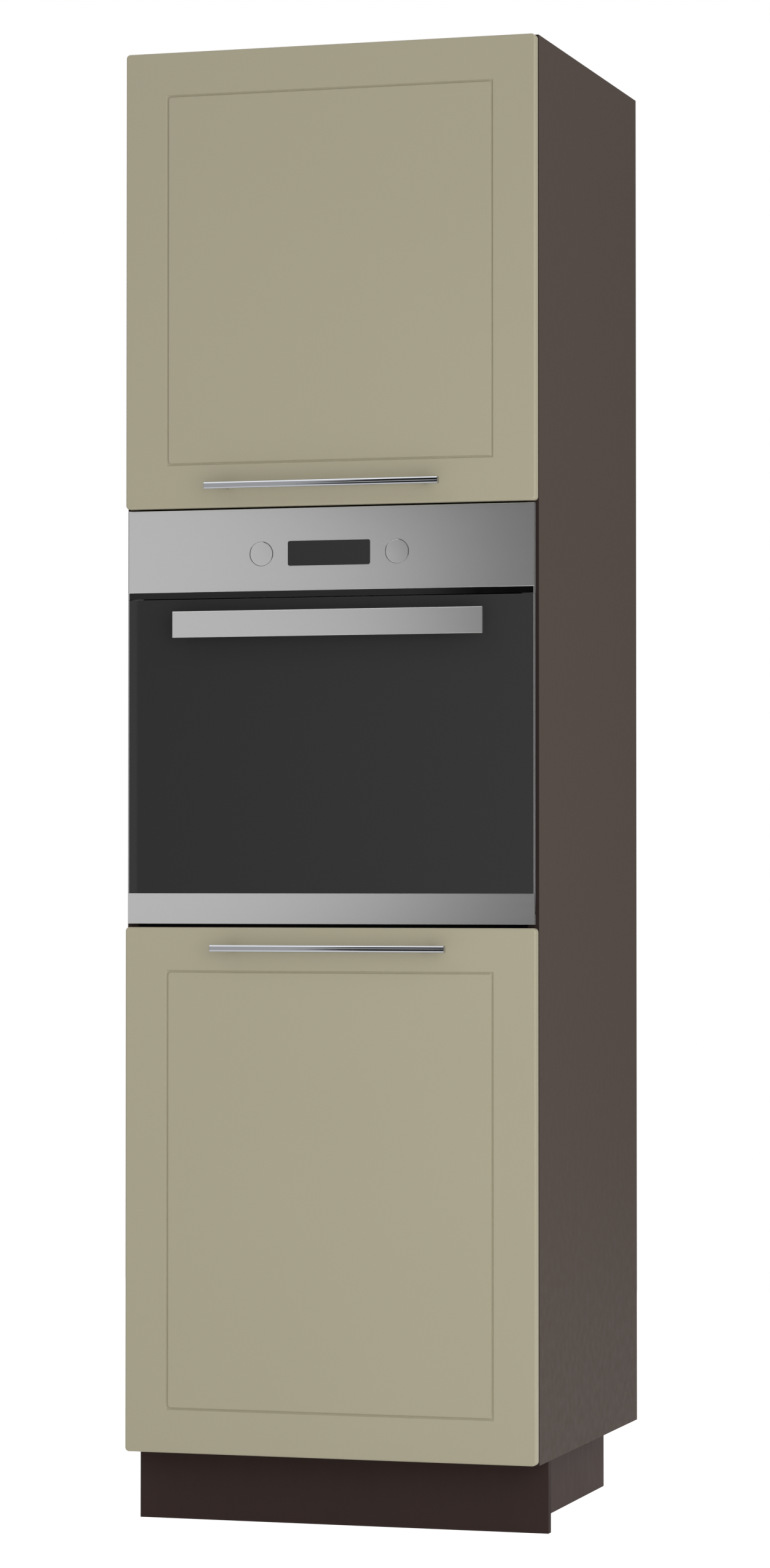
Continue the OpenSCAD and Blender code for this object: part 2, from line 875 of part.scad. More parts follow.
// A rectangle with its two corners on the low side of the second axis rounded
function soft_profile(a, b, depth, r) = concat(
  [[b, depth], [a, depth]],
  [for (k = [0:6]) [a + r - r * cos(15 * k), r - r * sin(15 * k)]],
  [for (k = [6:-1:0]) [b - r + r * cos(15 * k), r - r * sin(15 * k)]]
);

// A door from z0 to z1 with rounded front edges and a routed line, drilled for hinges and handle
module door_panel(z0, z1, cup_zs, grip_x, grip_z) {
  h = z1 - z0;
  mid = (z0 + z1) / 2;
  line_o = 2 * line_inset;
  line_i = line_o + 2 * line_w;
  color(c_door) at_front() difference() {
    intersection() {
      upright([door_mid, door_front, mid], door_t) soft_rect(door_w, h, door_corner_r);
      translate([0, door_front, z0]) linear_extrude(height = h)
        polygon(soft_profile(door_x0, door_x1, door_t, door_edge_r));
      translate([door_x0, door_front, 0]) rotate([90, 0, 90]) linear_extrude(height = door_w)
        polygon([for (p = soft_profile(z0, z1, door_t, door_edge_r)) [p[1], p[0]]]);
    }
    upright([door_mid, door_front - past, mid], line_d + past) difference() {
      square([door_w - line_o, h - line_o], center = true);
      soft_rect(door_w - line_i, h - line_i, line_corner_r);
    }
    for (z = cup_zs) cup_seat(z);
    for (s = [-1, 1])
      rod_y([grip_x + s * grip_pitch / 2, door_front - past, grip_z], grip_screw_d / 2,
        door_t + 2 * past);
  }
}

module upper_door_panel() {
  door_panel(upper_z0, upper_z1, upper_hinge_zs, upper_grip_x, upper_grip_z);
}

module lower_door_panel() {
  door_panel(lower_z0, lower_z1, lower_hinge_zs, lower_grip_x, lower_grip_z);
}

// The bar has its long edges rounded
module handle_bar(x, z) {
  color(c_chrome) at_front()
    translate([x - grip_l / 2, door_front - grip_reach + grip_s / 2, z])
      rotate([90, 0, 90]) linear_extrude(height = grip_l) soft_rect(grip_s, grip_s, grip_edge_r);
}

// Each post has the screw that comes through the door from behind
module handle_posts(x, z) {
  color(c_chrome) at_front() for (s = [-1, 1])
    translate([x + s * grip_pitch / 2, 0, z]) {
      rod_y([0, door_front - grip_reach + grip_s, 0], grip_post_d / 2, grip_reach - grip_s);
      rod_y([0, door_front - eps, 0], grip_screw_d / 2, door_t + eps);
      rod_y([0, door_back, 0], grip_screw_d, grip_screw_head);
    }
}

module upper_handle_bar() {
  handle_bar(upper_grip_x, upper_grip_z);
}

module upper_handle_posts() {
  handle_posts(upper_grip_x, upper_grip_z);
}

module lower_handle_bar() {
  handle_bar(lower_grip_x, lower_grip_z);
}

module lower_handle_posts() {
  handle_posts(lower_grip_x, lower_grip_z);
}

// ---------- oven body ----------

// A box that is open in front, standing on the oven shelf
module oven_casing() {
  color(c_zinc) at_front() difference() {
    block([-casing_x, 0, shelf_top], [casing_x, casing_d, casing_z1]);
    block([-casing_in_x, -past, shelf_top + casing_t], [casing_in_x, casing_in_y, casing_in_z]);
    rod_y([gland_x, casing_in_y - past, gland_z], lead_r + lead_room, casing_t + 2 * past);
  }
}

// Where the flange is screwed to a side panel: s is -1 for the left and 1 for the right
module flange_screw_sites(s) {
  for (z = [shelf_top + flange_screw_end, niche_top - flange_screw_end])
    translate([s * flange_screw_x, 0, z]) children();
}

// A flat frame on the carcass front that carries the control panel, open at the bottom
module oven_flange() {
  color(c_zinc) at_front() difference() {
    block([-flange_x, -flange_t, shelf_top], [flange_x, 0, niche_top]);
    block([-casing_in_x, -flange_t - past, shelf_top - past], [casing_in_x, past, casing_in_z]);
    for (s = [-1, 1]) flange_screw_sites(s)
      rod_y([0, -flange_t - past, 0], flange_screw_r, flange_t + 2 * past);
  }
}

// The enamelled box with the front frame that closes the casing round it, and the hinge leaves
module oven_cavity() {
  color(c_enamel) at_front() {
    difference() {
      union() {
        block([-casing_in_x, front_frame_y, shelf_top + casing_t], [casing_in_x, cav_y0, bay_z]);
        block([-cav_x - casing_t, front_frame_y, cav_z0 - casing_t],
          [cav_x + casing_t, liner_y1, cav_z1 + casing_t]);
      }
      block([-cav_x, front_frame_y - past, cav_z0], [cav_x, cav_y1, cav_z1]);
      rod_y([0, cav_y1 - past, cav_mid_z], shaft_r + past, casing_t + 2 * past);
      rod_y([lamp_x, cav_y1 - past, lamp_z], lamp_r, casing_t + 2 * past);
    }
    both_sides() hinge_leaf();
  }
}

// The leaf that holds the eye of one oven door hinge in front of the casing
module hinge_leaf() {
  x0 = -oven_hinge_x - hinge_leaf_t / 2;
  x1 = x0 + hinge_leaf_t;
  low_z = shelf_top + leaf_lift;
  difference() {
    union() {
      rod_x([x0, oven_pin_y, oven_pin_z], oven_eye_r, hinge_leaf_t);
      block([x0, oven_pin_y, low_z], [x1, 0, shelf_top + leaf_low_h]);
      block([x0, -leaf_low_h / 4, low_z + casing_t], [x1, front_frame_y + eps, shelf_top + leaf_h]);
    }
    rod_x([x0 - past, oven_pin_y, oven_pin_z], oven_pin_r + running_gap, hinge_leaf_t + 2 * past);
  }
}

module insulation() {
  x = cav_x + casing_t;
  color("#c9c3b2") at_front() difference() {
    block([-x - wool_t, cav_y0, cav_z0 - casing_t - wool_t],
      [x + wool_t, liner_y1 + wool_t, cav_z1 + casing_t + wool_t]);
    block([-x, cav_y0 - past, cav_z0 - casing_t], [x, liner_y1, cav_z1 + casing_t]);
    rod_y([0, liner_y1 - past, cav_mid_z], motor_r + motor_room, wool_t + 2 * past);
    rod_y([lamp_x, liner_y1 - past, lamp_z], lamp_r + lamp_room, wool_t + 2 * past);
  }
}

module door_seal() {
  color("#3c3c3c") at_front() upright([0, front_frame_y - seal_t, cav_mid_z], seal_t) difference() {
    soft_rect(cavity_w + 2 * seal_w, cavity_h + 2 * seal_w, seal_w);
    square([cavity_w + 2 * seal_lip, cavity_h + 2 * seal_lip], center = true);
  }
}

// The floor between the cavity and the controls, with the bracket that carries the switches
module control_bay_floor() {
  x = knob_x + bracket_side;
  color(c_zinc) at_front() difference() {
    union() {
      block([-casing_in_x, bay_y0, bay_z], [casing_in_x, casing_in_y, bay_top]);
      block([-x, bracket_y, bay_top - eps], [x, switch_y, control_z + bracket_over]);
    }
    for (s = [-1, 1])
      rod_y([s * knob_x, bracket_y - past, control_z], spindle_r + past, casing_t + 2 * past);
  }
}

// The strip that closes the front of the air slot under the control panel. Air comes out below
// it, through a slotted plate and between the ribs that carry the strip
module air_grille() {
  pitch = 2 * (casing_in_x - grille_margin) / grille_slots;
  half = grille_open * pitch / 2;
  color("#161616") at_front() {
    block([-slot_strip_x, slot_strip_y0, slot_strip_z0], [slot_strip_x, slot_strip_y1, panel_z0]);
    for (k = [0:grille_slots]) translate([(k - grille_slots / 2) * pitch, 0, 0])
      block([-grille_rib_t / 2, slot_strip_y1 - eps, slot_strip_z0],
        [grille_rib_t / 2, grille_y0 + eps, panel_z0]);
    difference() {
      block([-casing_in_x, grille_y0, slot_strip_z0],
        [casing_in_x, grille_y0 + grille_t, panel_z0 + grille_lap]);
      for (k = [0:grille_slots - 1]) translate([(k - (grille_slots - 1) / 2) * pitch, 0, 0])
        block([-half, grille_y0 - past, slot_strip_z0 + grille_bar],
          [half, grille_y0 + grille_t + past, panel_z0 - grille_bar]);
    }
  }
}

// A steel tray with holes for the display and the knobs, and a rim that lies on the flange and
// is cut out round the heads of the flange's screws. A tab at each side runs down beside the slot
module control_panel() {
  rim_front = -flange_t - sheet_t;
  color(c_steel) at_front() {
    difference() {
      block([-oven_x, oven_y, panel_z0], [oven_x, -flange_t, oven_z1]);
      block([-oven_x + sheet_t, panel_in_y, panel_z0 + sheet_t],
        [oven_x - sheet_t, rim_front, oven_z1 - sheet_t]);
      block([-casing_in_x, rim_front - past, panel_z0 + sheet_t], [casing_in_x, past, casing_in_z]);
      upright([0, oven_y - past, control_z], sheet_t + 2 * past)
        soft_rect(display_w, display_h, display_r);
      for (s = [-1, 1])
        rod_y([s * knob_x, oven_y - past, control_z], collar_r, sheet_t + 2 * past);
      for (s = [-1, 1]) flange_screw_sites(s)
        rod_y([0, rim_front - past, 0], flange_head_r + slack, sheet_t + 2 * past);
    }
    both_sides()
      block([-oven_x, oven_y, glass_z1 + slot_tab_gap], [-oven_x + sheet_t, -flange_t, panel_z0 + eps]);
  }
}

// The dark window, and the module behind it that reaches back to the bracket
module display() {
  w = display_w - 2 * display_gap;
  h = display_h - 2 * display_gap;
  color(c_glass) at_front() {
    upright([0, oven_y, control_z], display_t) soft_rect(w, h, display_r);
    block([-w / 2 + display_rim, oven_y + display_t - eps, control_z - h / 2 + display_rim],
      [w / 2 - display_rim, bracket_y, control_z + h / 2 - display_rim]);
  }
}

// Sleeves behind the control panel that guide the knobs
module knob_collars() {
  l = bracket_y - panel_in_y;
  color("#202020") at_front() for (s = [-1, 1]) difference() {
    rod_y([s * knob_x, panel_in_y, control_z], collar_r + collar_wall, l);
    rod_y([s * knob_x, panel_in_y - past, control_z], collar_r, l + 2 * past);
  }
}

// The selector switch on the left and the thermostat on the right
module control_switches() {
  color("#d8d4c8") at_front() for (s = [-1, 1]) difference() {
    block([s * knob_x - switch_half, switch_y, control_z - switch_half],
      [s * knob_x + switch_half, switch_y + switch_l, control_z + switch_half]);
    rod_y([s * knob_x, switch_y - past, control_z], spindle_r + running_gap,
      switch_l - switch_floor + past);
  }
}

// A round bar with a flat on top, which turns in its switch and drives its knob
module spindle_shape(x, r, y0, l) {
  intersection() {
    rod_y([x, y0, control_z], r, l);
    block([x - r, y0, control_z - r], [x + r, y0 + l, control_z + spindle_flat + r - spindle_r]);
  }
}

module knob_spindle(x) {
  color(c_steel) at_front() {
    spindle_shape(x, spindle_r, spindle_y0, switch_y - spindle_y0);
    rod_y([x, switch_y - eps, control_z], spindle_r, switch_l - switch_floor - past);
  }
}

module function_spindle() {
  knob_spindle(-knob_x);
}

module temperature_spindle() {
  knob_spindle(knob_x);
}

// A cap with a hub that slides along the flatted spindle
module knob_cap(x) {
  in_y = oven_y + knob_wall;
  color(c_steel) at_front() difference() {
    rod_y([x, oven_y, control_z], knob_r, knob_l);
    difference() {
      rod_y([x, in_y, control_z], knob_r - knob_wall, knob_l);
      rod_y([x, in_y, control_z], hub_r, knob_l);
    }
    spindle_shape(x, spindle_r + running_gap, in_y, knob_l);
  }
}

module function_knob() {
  knob_cap(-knob_x);
}

module temperature_knob() {
  knob_cap(knob_x);
}

// ---------- oven door ----------

// The pressed frame: plate behind the glass, thin side edges, inner box and hinge lugs
module oven_door_frame() {
  color(c_steel) at_front() {
    difference() {
      union() {
        block([-oven_x, door_plate_y0, door_plate_z0], [oven_x, door_plate_y1, glass_z1]);
        both_sides() block([-oven_x, oven_y, strip_z1], [-oven_x + sheet_t, door_plate_y1, glass_z1]);
        sleeve_y(inner_x, inner_z0, inner_z1, door_plate_y1 - eps, rim_y, sheet_t);
        block([-inner_x, rim_y - sheet_t, inner_z0], [inner_x, rim_y, inner_z1]);
      }
      block([-window_x, oven_y - past, window_z0], [window_x, door_in, window_z1]);
    }
    both_sides() hinge_lugs();
  }
}

// Two lugs each side of a hinge leaf, which hold the pin in the door
module hinge_lugs() {
  for (s = [-1, 1]) {
    x0 = -oven_hinge_x + s * (hinge_leaf_t / 2 + hinge_lug_gap) - (s < 0 ? hinge_leaf_t : 0);
    x1 = x0 + hinge_leaf_t;
    difference() {
      union() {
        rod_x([x0, oven_pin_y, oven_pin_z], oven_eye_r, hinge_leaf_t);
        block([x0, oven_pin_y - oven_eye_r, oven_pin_z],
          [x1, oven_pin_y + oven_eye_r, door_plate_z0 + eps]);
      }
      rod_x([x0 - past, oven_pin_y, oven_pin_z], oven_pin_r, hinge_leaf_t + 2 * past);
    }
  }
}

module oven_door_glass() {
  x = oven_x - sheet_t;
  color(c_glass) at_front()
    block([-x, oven_y, strip_z1], [x, door_plate_y0, glass_z1]);
}

module oven_inner_glass() {
  color([0.25, 0.25, 0.25, 0.6]) at_front()
    block([-inner_x, door_in - inner_glass_t, inner_z0], [inner_x, door_in, inner_z1]);
}

// A folded strip: front, two ends and a top edge that is fixed to the frame's plate
module oven_door_strip() {
  color(c_steel) at_front() {
    block([-oven_x, oven_y, oven_z0], [oven_x, oven_y + sheet_t, strip_z1]);
    block([-oven_x, oven_y, strip_z1 - sheet_t], [oven_x, door_plate_y0, strip_z1]);
    both_sides() block([-oven_x, oven_y, oven_z0], [-oven_x + sheet_t, door_plate_y1, door_plate_z0]);
    both_sides() block([-oven_x, oven_y, oven_z0], [-oven_x + sheet_t, door_plate_y0, strip_z1]);
  }
}

// The flat bar on its two posts
module oven_handle() {
  color(c_steel) at_front() {
    block([bar_x - bar_l / 2, bar_back - bar_t, bar_z - bar_h / 2],
      [bar_x + bar_l / 2, bar_back, bar_z + bar_h / 2]);
    for (s = [-1, 1])
      translate([bar_x + s * (bar_l / 2 - bar_post_end), 0, bar_z])
        block([-bar_post_w / 2, bar_back - eps, -bar_post_h / 2],
          [bar_post_w / 2, oven_y, bar_post_h / 2]);
  }
}

module oven_hinge_pins() {
  l = 3 * hinge_leaf_t + 2 * hinge_lug_gap;
  color(c_zinc) at_front() both_sides()
    rod_x([-oven_hinge_x - l / 2, oven_pin_y, oven_pin_z], oven_pin_r, l);
}

// ---------- inside the cavity ----------

function level_z(k) = cav_z0 + rack_first + k * rack_pitch;

// A ladder of wire on one side wall, drawn for the left: rails that carry a rack's edge, held
// off two posts that stand clear behind them
module rack_support() {
  top_z = level_z(rack_levels - 1);
  for (y = [rail_y0 + post_in, rail_y1 - post_in]) {
    rod_z([-post_x, y, level_z(0) - post_over], wire_r, top_z - level_z(0) + 2 * post_over);
    for (k = [0:rack_levels - 1]) rod_x([-post_x, y, level_z(k)], stud_r, post_x - rail_x);
    for (z = [level_z(0) - post_stud_over, top_z + post_stud_over])
      rod_x([-cav_x, y, z], stud_r, cav_x - post_x);
  }
  for (k = [0:rack_levels - 1]) rod_y([-rail_x, rail_y0, level_z(k)], wire_r, rail_y1 - rail_y0);
}

module rack_supports() {
  color(c_chrome) at_front() both_sides() rack_support();
}

// A frame that lies on the rack supports, with bars across it
module wire_rack() {
  z = level_z(rack_level) + 2 * wire_r;
  y0 = rail_y0 + rack_end;
  l = rail_y1 - rack_end - y0;
  color(c_chrome) at_front() {
    both_sides() rod_y([-rail_x, y0, z], wire_r, l);
    for (y = [y0 + wire_r, y0 + l - wire_r]) rod_x([-rail_x, y, z], wire_r, 2 * rail_x);
    for (k = [1:rack_bars])
      rod_y([rail_x * (2 * k / (rack_bars + 1) - 1), y0, z], rack_bar_r, l);
  }
}

// A pan whose flat rim lies on the rack supports
module baking_tray() {
  z1 = level_z(tray_level) + wire_r + tray_t;
  z0 = z1 - tray_h;
  rim_x = rail_x + past;
  rim_y0 = rail_y0 + rack_end;
  rim_y1 = rail_y1 - rack_end;
  x = rim_x - tray_rim;
  y0 = rim_y0 + tray_rim;
  y1 = rim_y1 - tray_rim;
  color(c_enamel) at_front() difference() {
    union() {
      block([-rim_x, rim_y0, z1 - tray_t], [rim_x, rim_y1, z1]);
      block([-x, y0, z0], [x, y1, z1]);
    }
    block([-x + tray_t, y0 + tray_t, z0 + tray_t], [x - tray_t, y1 - tray_t, z1 + past]);
  }
}

// A serpentine under the cavity's roof, whose two ends go to the rear wall
module top_element() {
  bend = top_heater_bend;
  for (k = [0:3]) {
    end = (k == 0 || k == 3) ? cav_y1 : top_heater_y1;
    rod_y([(2 * k - 3) * bend, top_heater_y0, top_heater_z], heater_r, end - top_heater_y0);
  }
  for (x = [-2 * bend, 2 * bend]) element_bend(x, top_heater_y0, 180);
  element_bend(0, top_heater_y1, 0);
}

// Half a turn of the top element
module element_bend(x, y, turn) {
  translate([x, y, top_heater_z]) rotate([0, 0, turn])
    rotate_extrude(angle = 180) translate([top_heater_bend, 0]) circle(r = heater_r);
}

// The round element that the fan blows through, on two leads from the rear wall
module ring_element() {
  lead_z = cav_mid_z + sqrt(pow(ring_r, 2) - pow(ring_lead_x, 2));
  translate([0, ring_y, cav_mid_z]) rotate([90, 0, 0])
    rotate_extrude() translate([ring_r, 0]) circle(r = heater_r);
  for (s = [-1, 1]) rod_y([s * ring_lead_x, ring_y, lead_z], heater_r, cav_y1 - ring_y);
}

module heating_elements() {
  color(c_zinc) at_front() {
    top_element();
    ring_element();
  }
}

// A slotted cover in front of the fan
module fan_cover() {
  color(c_enamel) at_front() translate([0, 0, cav_mid_z]) difference() {
    block([-fan_cover_x, fan_cover_y, -fan_cover_z], [fan_cover_x, cav_y1, fan_cover_z]);
    block([-fan_cover_x + cover_t, fan_cover_y + cover_t, -fan_cover_z + cover_t],
      [fan_cover_x - cover_t, cav_y1 + past, fan_cover_z - cover_t]);
    for (k = [-cover_slots:cover_slots]) {
      x = k * cover_slot_pitch;
      h = sqrt(pow(cover_slots_r, 2) - pow(x, 2));
      block([x - cover_slot_w / 2, fan_cover_y - past, -h],
        [x + cover_slot_w / 2, fan_cover_y + cover_t + past, h]);
    }
  }
}

module fan_motor() {
  color(c_zinc) at_front() difference() {
    rod_y([0, liner_y1, cav_mid_z], motor_r, motor_l);
    rod_y([0, liner_y1 - past, cav_mid_z], shaft_r + running_gap, motor_bore_l + past);
  }
}

// Hub, blades and the shaft that runs back into the motor
module convection_fan() {
  sheet_y = fan_depth - fan_sheet;
  color(c_zinc) at_front() translate([0, fan_y, cav_mid_z]) {
    rod_y([0, 0, 0], fan_hub_r, fan_depth);
    rod_y([0, sheet_y, 0], fan_r, fan_sheet);
    for (k = [0:fan_blades - 1]) rotate([0, k * 360 / fan_blades, 0])
      block([0, 0, -fan_blade_t / 2], [fan_r, sheet_y + eps, fan_blade_t / 2]);
    rod_y([0, sheet_y, 0], shaft_r, liner_y1 + motor_bore_l - past - fan_y - sheet_y);
  }
}

// The glass cap inside the cavity and its holder in the insulation
module oven_lamp() {
  color("#e8e4d0") at_front() {
    rod_y([lamp_x, cav_y1 - lamp_cap, lamp_z], lamp_r, casing_t + lamp_cap);
    rod_y([lamp_x, liner_y1 - eps, lamp_z], lamp_holder_r, wool_t);
  }
}

// ---------- mains connection ----------

// A box on the casing's back with a cord gland, bored for the lead
module mains_terminal() {
  y1 = casing_d + terminal_d;
  color("#2a2a2a") at_front() translate([gland_x, 0, gland_z]) difference() {
    union() {
      block([-terminal_w / 2, casing_d, -terminal_h / 2], [terminal_w / 2, y1, terminal_h / 2]);
      rod_y([0, y1 - eps, 0], gland_d / 2, gland_l + eps);
    }
    rod_y([0, casing_d - past, 0], lead_r, terminal_d + gland_l + 2 * past);
  }
}

side_panel_left();
side_panel_right();
top_panel();
bottom_panel();
oven_shelf();
niche_top_panel();
upper_back_panel();
lower_back_panel();
wall_rail();
upper_shelf();
lower_shelf();
shelf_pins();
cam_fittings();
wood_screws();
plinth_front();
plinth_sides();
plinth_back();
hinge_plates();
hinge_arms();
door_bumpers();
upper_door_panel();
upper_handle_bar();
upper_handle_posts();
upper_hinge_cups();
upper_hinge_pins();
lower_door_panel();
lower_handle_bar();
lower_handle_posts();
lower_hinge_cups();
lower_hinge_pins();
oven_casing();
oven_flange();
oven_cavity();
insulation();
door_seal();
control_bay_floor();
air_grille();
control_panel();
display();
knob_collars();
control_switches();
function_spindle();
function_knob();
temperature_spindle();
temperature_knob();
oven_door_frame();
oven_door_glass();
oven_inner_glass();
oven_door_strip();
oven_handle();
oven_hinge_pins();
rack_supports();
wire_rack();
baking_tray();
heating_elements();
fan_cover();
fan_motor();
convection_fan();
oven_lamp();
mains_terminal();
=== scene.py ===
"""A tall kitchen cabinet with a cupboard above and below a built-in oven.

Metres, +Z up, front towards -Y. Every piece sits at the origin with its place in its mesh, and is
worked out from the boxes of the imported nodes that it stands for.
"""

import json
import math

import bmesh
import bpy
import numpy as np
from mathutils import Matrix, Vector
from mathutils.geometry import tessellate_polygon

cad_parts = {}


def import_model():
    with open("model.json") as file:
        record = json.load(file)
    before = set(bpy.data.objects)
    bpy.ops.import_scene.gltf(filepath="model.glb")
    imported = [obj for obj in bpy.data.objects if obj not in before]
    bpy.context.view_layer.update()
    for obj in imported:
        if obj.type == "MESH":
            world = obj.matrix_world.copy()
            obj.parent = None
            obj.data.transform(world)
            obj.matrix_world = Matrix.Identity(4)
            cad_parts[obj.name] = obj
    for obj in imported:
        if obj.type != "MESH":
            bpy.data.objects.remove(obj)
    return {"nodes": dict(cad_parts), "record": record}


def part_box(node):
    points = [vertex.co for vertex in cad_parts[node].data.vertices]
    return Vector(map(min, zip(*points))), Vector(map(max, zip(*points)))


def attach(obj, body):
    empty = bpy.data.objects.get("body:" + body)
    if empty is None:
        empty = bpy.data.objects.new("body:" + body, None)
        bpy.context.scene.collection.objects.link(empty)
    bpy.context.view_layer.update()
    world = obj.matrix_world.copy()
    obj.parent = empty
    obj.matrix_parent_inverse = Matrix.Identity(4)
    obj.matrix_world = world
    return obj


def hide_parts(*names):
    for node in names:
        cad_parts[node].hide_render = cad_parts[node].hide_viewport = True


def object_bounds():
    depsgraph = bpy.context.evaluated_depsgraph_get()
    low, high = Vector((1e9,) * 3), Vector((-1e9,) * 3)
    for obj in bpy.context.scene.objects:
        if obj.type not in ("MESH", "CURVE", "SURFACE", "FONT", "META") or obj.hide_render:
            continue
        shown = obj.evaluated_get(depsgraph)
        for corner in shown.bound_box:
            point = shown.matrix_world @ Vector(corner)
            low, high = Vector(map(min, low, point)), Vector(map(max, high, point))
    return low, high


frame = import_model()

MM = 0.001
CAD_BOX = [list(corner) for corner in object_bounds()]

# Camera, as the photograph was taken
CAMERA_PLACE = Vector((1.92518, -6.42632, 0.90496))
CAMERA_YAW = math.radians(16.67237)
CAMERA_PITCH = math.radians(1.17193)
CAMERA_LENS = 106.39
CAMERA_SENSOR = 36
CAMERA_REACH = 200

# How finely round shapes are cut, and how near two points count as one
MERGE = 2e-6
TINY_EDGE = 1e-7
POLE_R = 1e-6
SHARP_ANGLE = math.radians(40)
CROWN_POINTS = 13
LINE_POINTS = 13
DOOR_STEPS = 8
LIP_STEPS = 4
KNOB_POINTS = 72
HOLE_POINTS = 64

# Doors
DOOR_EDGE_R = 2.5 * MM
DOOR_CORNER_R = 5.5 * MM
DOOR_BACK_CHAMFER = 0.4 * MM
LINE_INSET = 59.5 * MM
LINE_WIDTH = 4.8 * MM
LINE_DEPTH = 2.3 * MM
LINE_CORNER_R = 5 * MM
SHARP_R = 0.15 * MM
CUP_R = 17.5 * MM
CUP_HALF_Z = 24 * MM

# Cupboard handles
GRIP_EDGE_R = 2.5 * MM
GRIP_END_R = 0.6 * MM
GRIP_CROWN = 0.15 * MM

# Control panel, its knobs and its display
SHEET = 1.2 * MM
FOLD_R = 0.7 * MM
TAB_EDGE_R = 0.3 * MM
SLOT_HEIGHT = 10 * MM
KNOB_EDGE_R = 0.6 * MM
KNOB_WALL = 2 * MM
KNOB_HUB_R = 5 * MM
KNOB_BORE_R = 3.05 * MM
KNOB_GAP = 0.5 * MM
LIP_R = 0.5 * MM
DISPLAY_GAP = 0.2 * MM
DISPLAY_LIP = 0.25 * MM
DISPLAY_R = 3 * MM

# Oven door and its handle
GLASS_EDGE_R = 0.9 * MM
STRIP_SLOPE = 28 * MM
BAR_T = 4 * MM
BAR_EDGE_R = 0.5 * MM
POST_END = 34 * MM
POST_W = 12 * MM
POST_H = 20 * MM
POST_SUNK = 1 * MM
POST_EDGE_R = 0.3 * MM
POST_CORNER_R = 2 * MM

# Tone across the oven glass: the rim, its soft end, and the end of the painted light that lifts the
# tone to the right, all as shares of the width
HALF_WIDTH = CAD_BOX[1][0]
GLASS_RIM = 0.0265
GLASS_RIM_SOFT = 0.002
GLASS_PAINTED_LIGHT_END = 0.95

# Steel: how often the brush streaks repeat in a metre along X, Y and Z
BRUSH_ALONG = 6.0
BRUSH_ACROSS = 2600.0
LENGTHWISE = (BRUSH_ALONG, BRUSH_ACROSS, BRUSH_ACROSS)
UPRIGHT = (BRUSH_ACROSS, BRUSH_ACROSS, BRUSH_ALONG)
STEEL_ROUGHNESS = 0.115

# Boards: painted shade, a dark strip on their front edges
EDGE_SHADE_T = 0.5 * MM

# Studio, as mirrors see it: edges in degrees left of straight ahead, and strengths of light
WALL_EDGE = 15.88
WIDE_EDGE = 17.6
CEILING_EDGE = 16.85
WALL_SOFT = 0.006
DARK_ROOM = 0.024
PALE_WALL = 0.604
BACK_WALL = 0.15
CEILING = 1.6
CEILING_END = 0.25

# Studio, as matt surfaces see it: strengths of light in front, behind and to the right
FILL = 0.365
FILL_BEHIND = 0.85
FILL_RIGHT = 1.33
RIGHT_WINDOW = (0.98, -0.2, 0)

# Where each part of the studio starts and is whole, as cosines of the angle to its middle
IN_FRONT = (0.35, 0.6)
OVERHEAD = (0.3, 0.42)
OVER_LEVEL = (0.079, 0.087)
UNDER_LEVEL = (0.012, 0.02)
RIGHTWARD = (0.3, 0.8)
BEHIND = (-0.05, 0.3)

# Floor: its side in metres, its tone and what it sends to mirrors, matt surfaces and the camera
FLOOR_SIZE = 7.0
FLOOR_TONE = 0.5
FLOOR_ROUGHNESS = 0.9
FLOOR_MIRROR = 0.6
FLOOR_GLOW = 0.41
FLOOR_WHITE = 0.92

# Lamps: place, aim and width in metres, and power in watts
KEY_LAMP = ((-2.0, -4.2, 5.2), (0, 0, 1.2), 2.6, 22)
LOW_LAMP = ((1.1, -2.3, 0.8), (0, 0, 0.9), 2.6, 22)


# ---------- surfaces ----------

def soft_loop(x0, x1, z0, z1, r, steps=6):
    """A rectangle with round corners, counter-clockwise seen from the front: each corner's centre
    plus r times (cos t, sin t), where t runs through that corner's quarter turn."""
    t = np.linspace(0, np.pi / 2, steps + 1)
    centres = ((x1 - r, z0 + r), (x1 - r, z1 - r), (x0 + r, z1 - r), (x0 + r, z0 + r))
    corners = []
    for turn, (cx, cz) in enumerate(centres):
        a = t + (turn - 1) * np.pi / 2
        corners.append(np.stack([cx + r * np.cos(a), cz + r * np.sin(a)], axis=1))
    return np.concatenate(corners)


def circle(cx, cz, r, points=48):
    """Points at equal angles on a circle, counter-clockwise seen from the front."""
    a = np.linspace(0, 2 * np.pi, points, endpoint=False)
    return np.stack([cx + r * np.cos(a), cz + r * np.sin(a)], axis=1)


def at_depth(loop, y):
    """An (x, z) loop stood up at one depth y."""
    return np.stack([loop[:, 0], np.full(len(loop), y), loop[:, 1]], axis=1)


def inset_ring(x0, x1, z0, z1, inset, r, y, steps=6):
    """A rectangle with round corners, drawn in by inset on each side and stood up at depth y."""
    return at_depth(soft_loop(x0 + inset, x1 - inset, z0 + inset, z1 - inset, r, steps), y)


def skin(rings):
    """Quads between each ring of points and the next."""
    rings = np.asarray(rings)
    count, points = rings.shape[:2]
    k = np.arange(count - 1)[:, None] * points
    i = np.arange(points)[None, :]
    j = (i + 1) % points
    faces = np.stack([k + i, k + j, k + points + j, k + points + i], axis=-1)
    return rings.reshape(-1, 3), faces.reshape(-1, 4).tolist()


def cap(ring):
    """One flat face inside a ring."""
    return np.asarray(ring), [list(range(len(ring)))]


def plate(outer, holes, y):
    """A flat face at depth y inside an outer loop, with a hole inside each other loop."""
    loops = [at_depth(loop, y) for loop in (outer, *holes)]
    points = np.concatenate(loops)
    lines = [[Vector(p) for p in loop] for loop in loops]
    return points, [list(face) for face in tessellate_polygon(lines)]


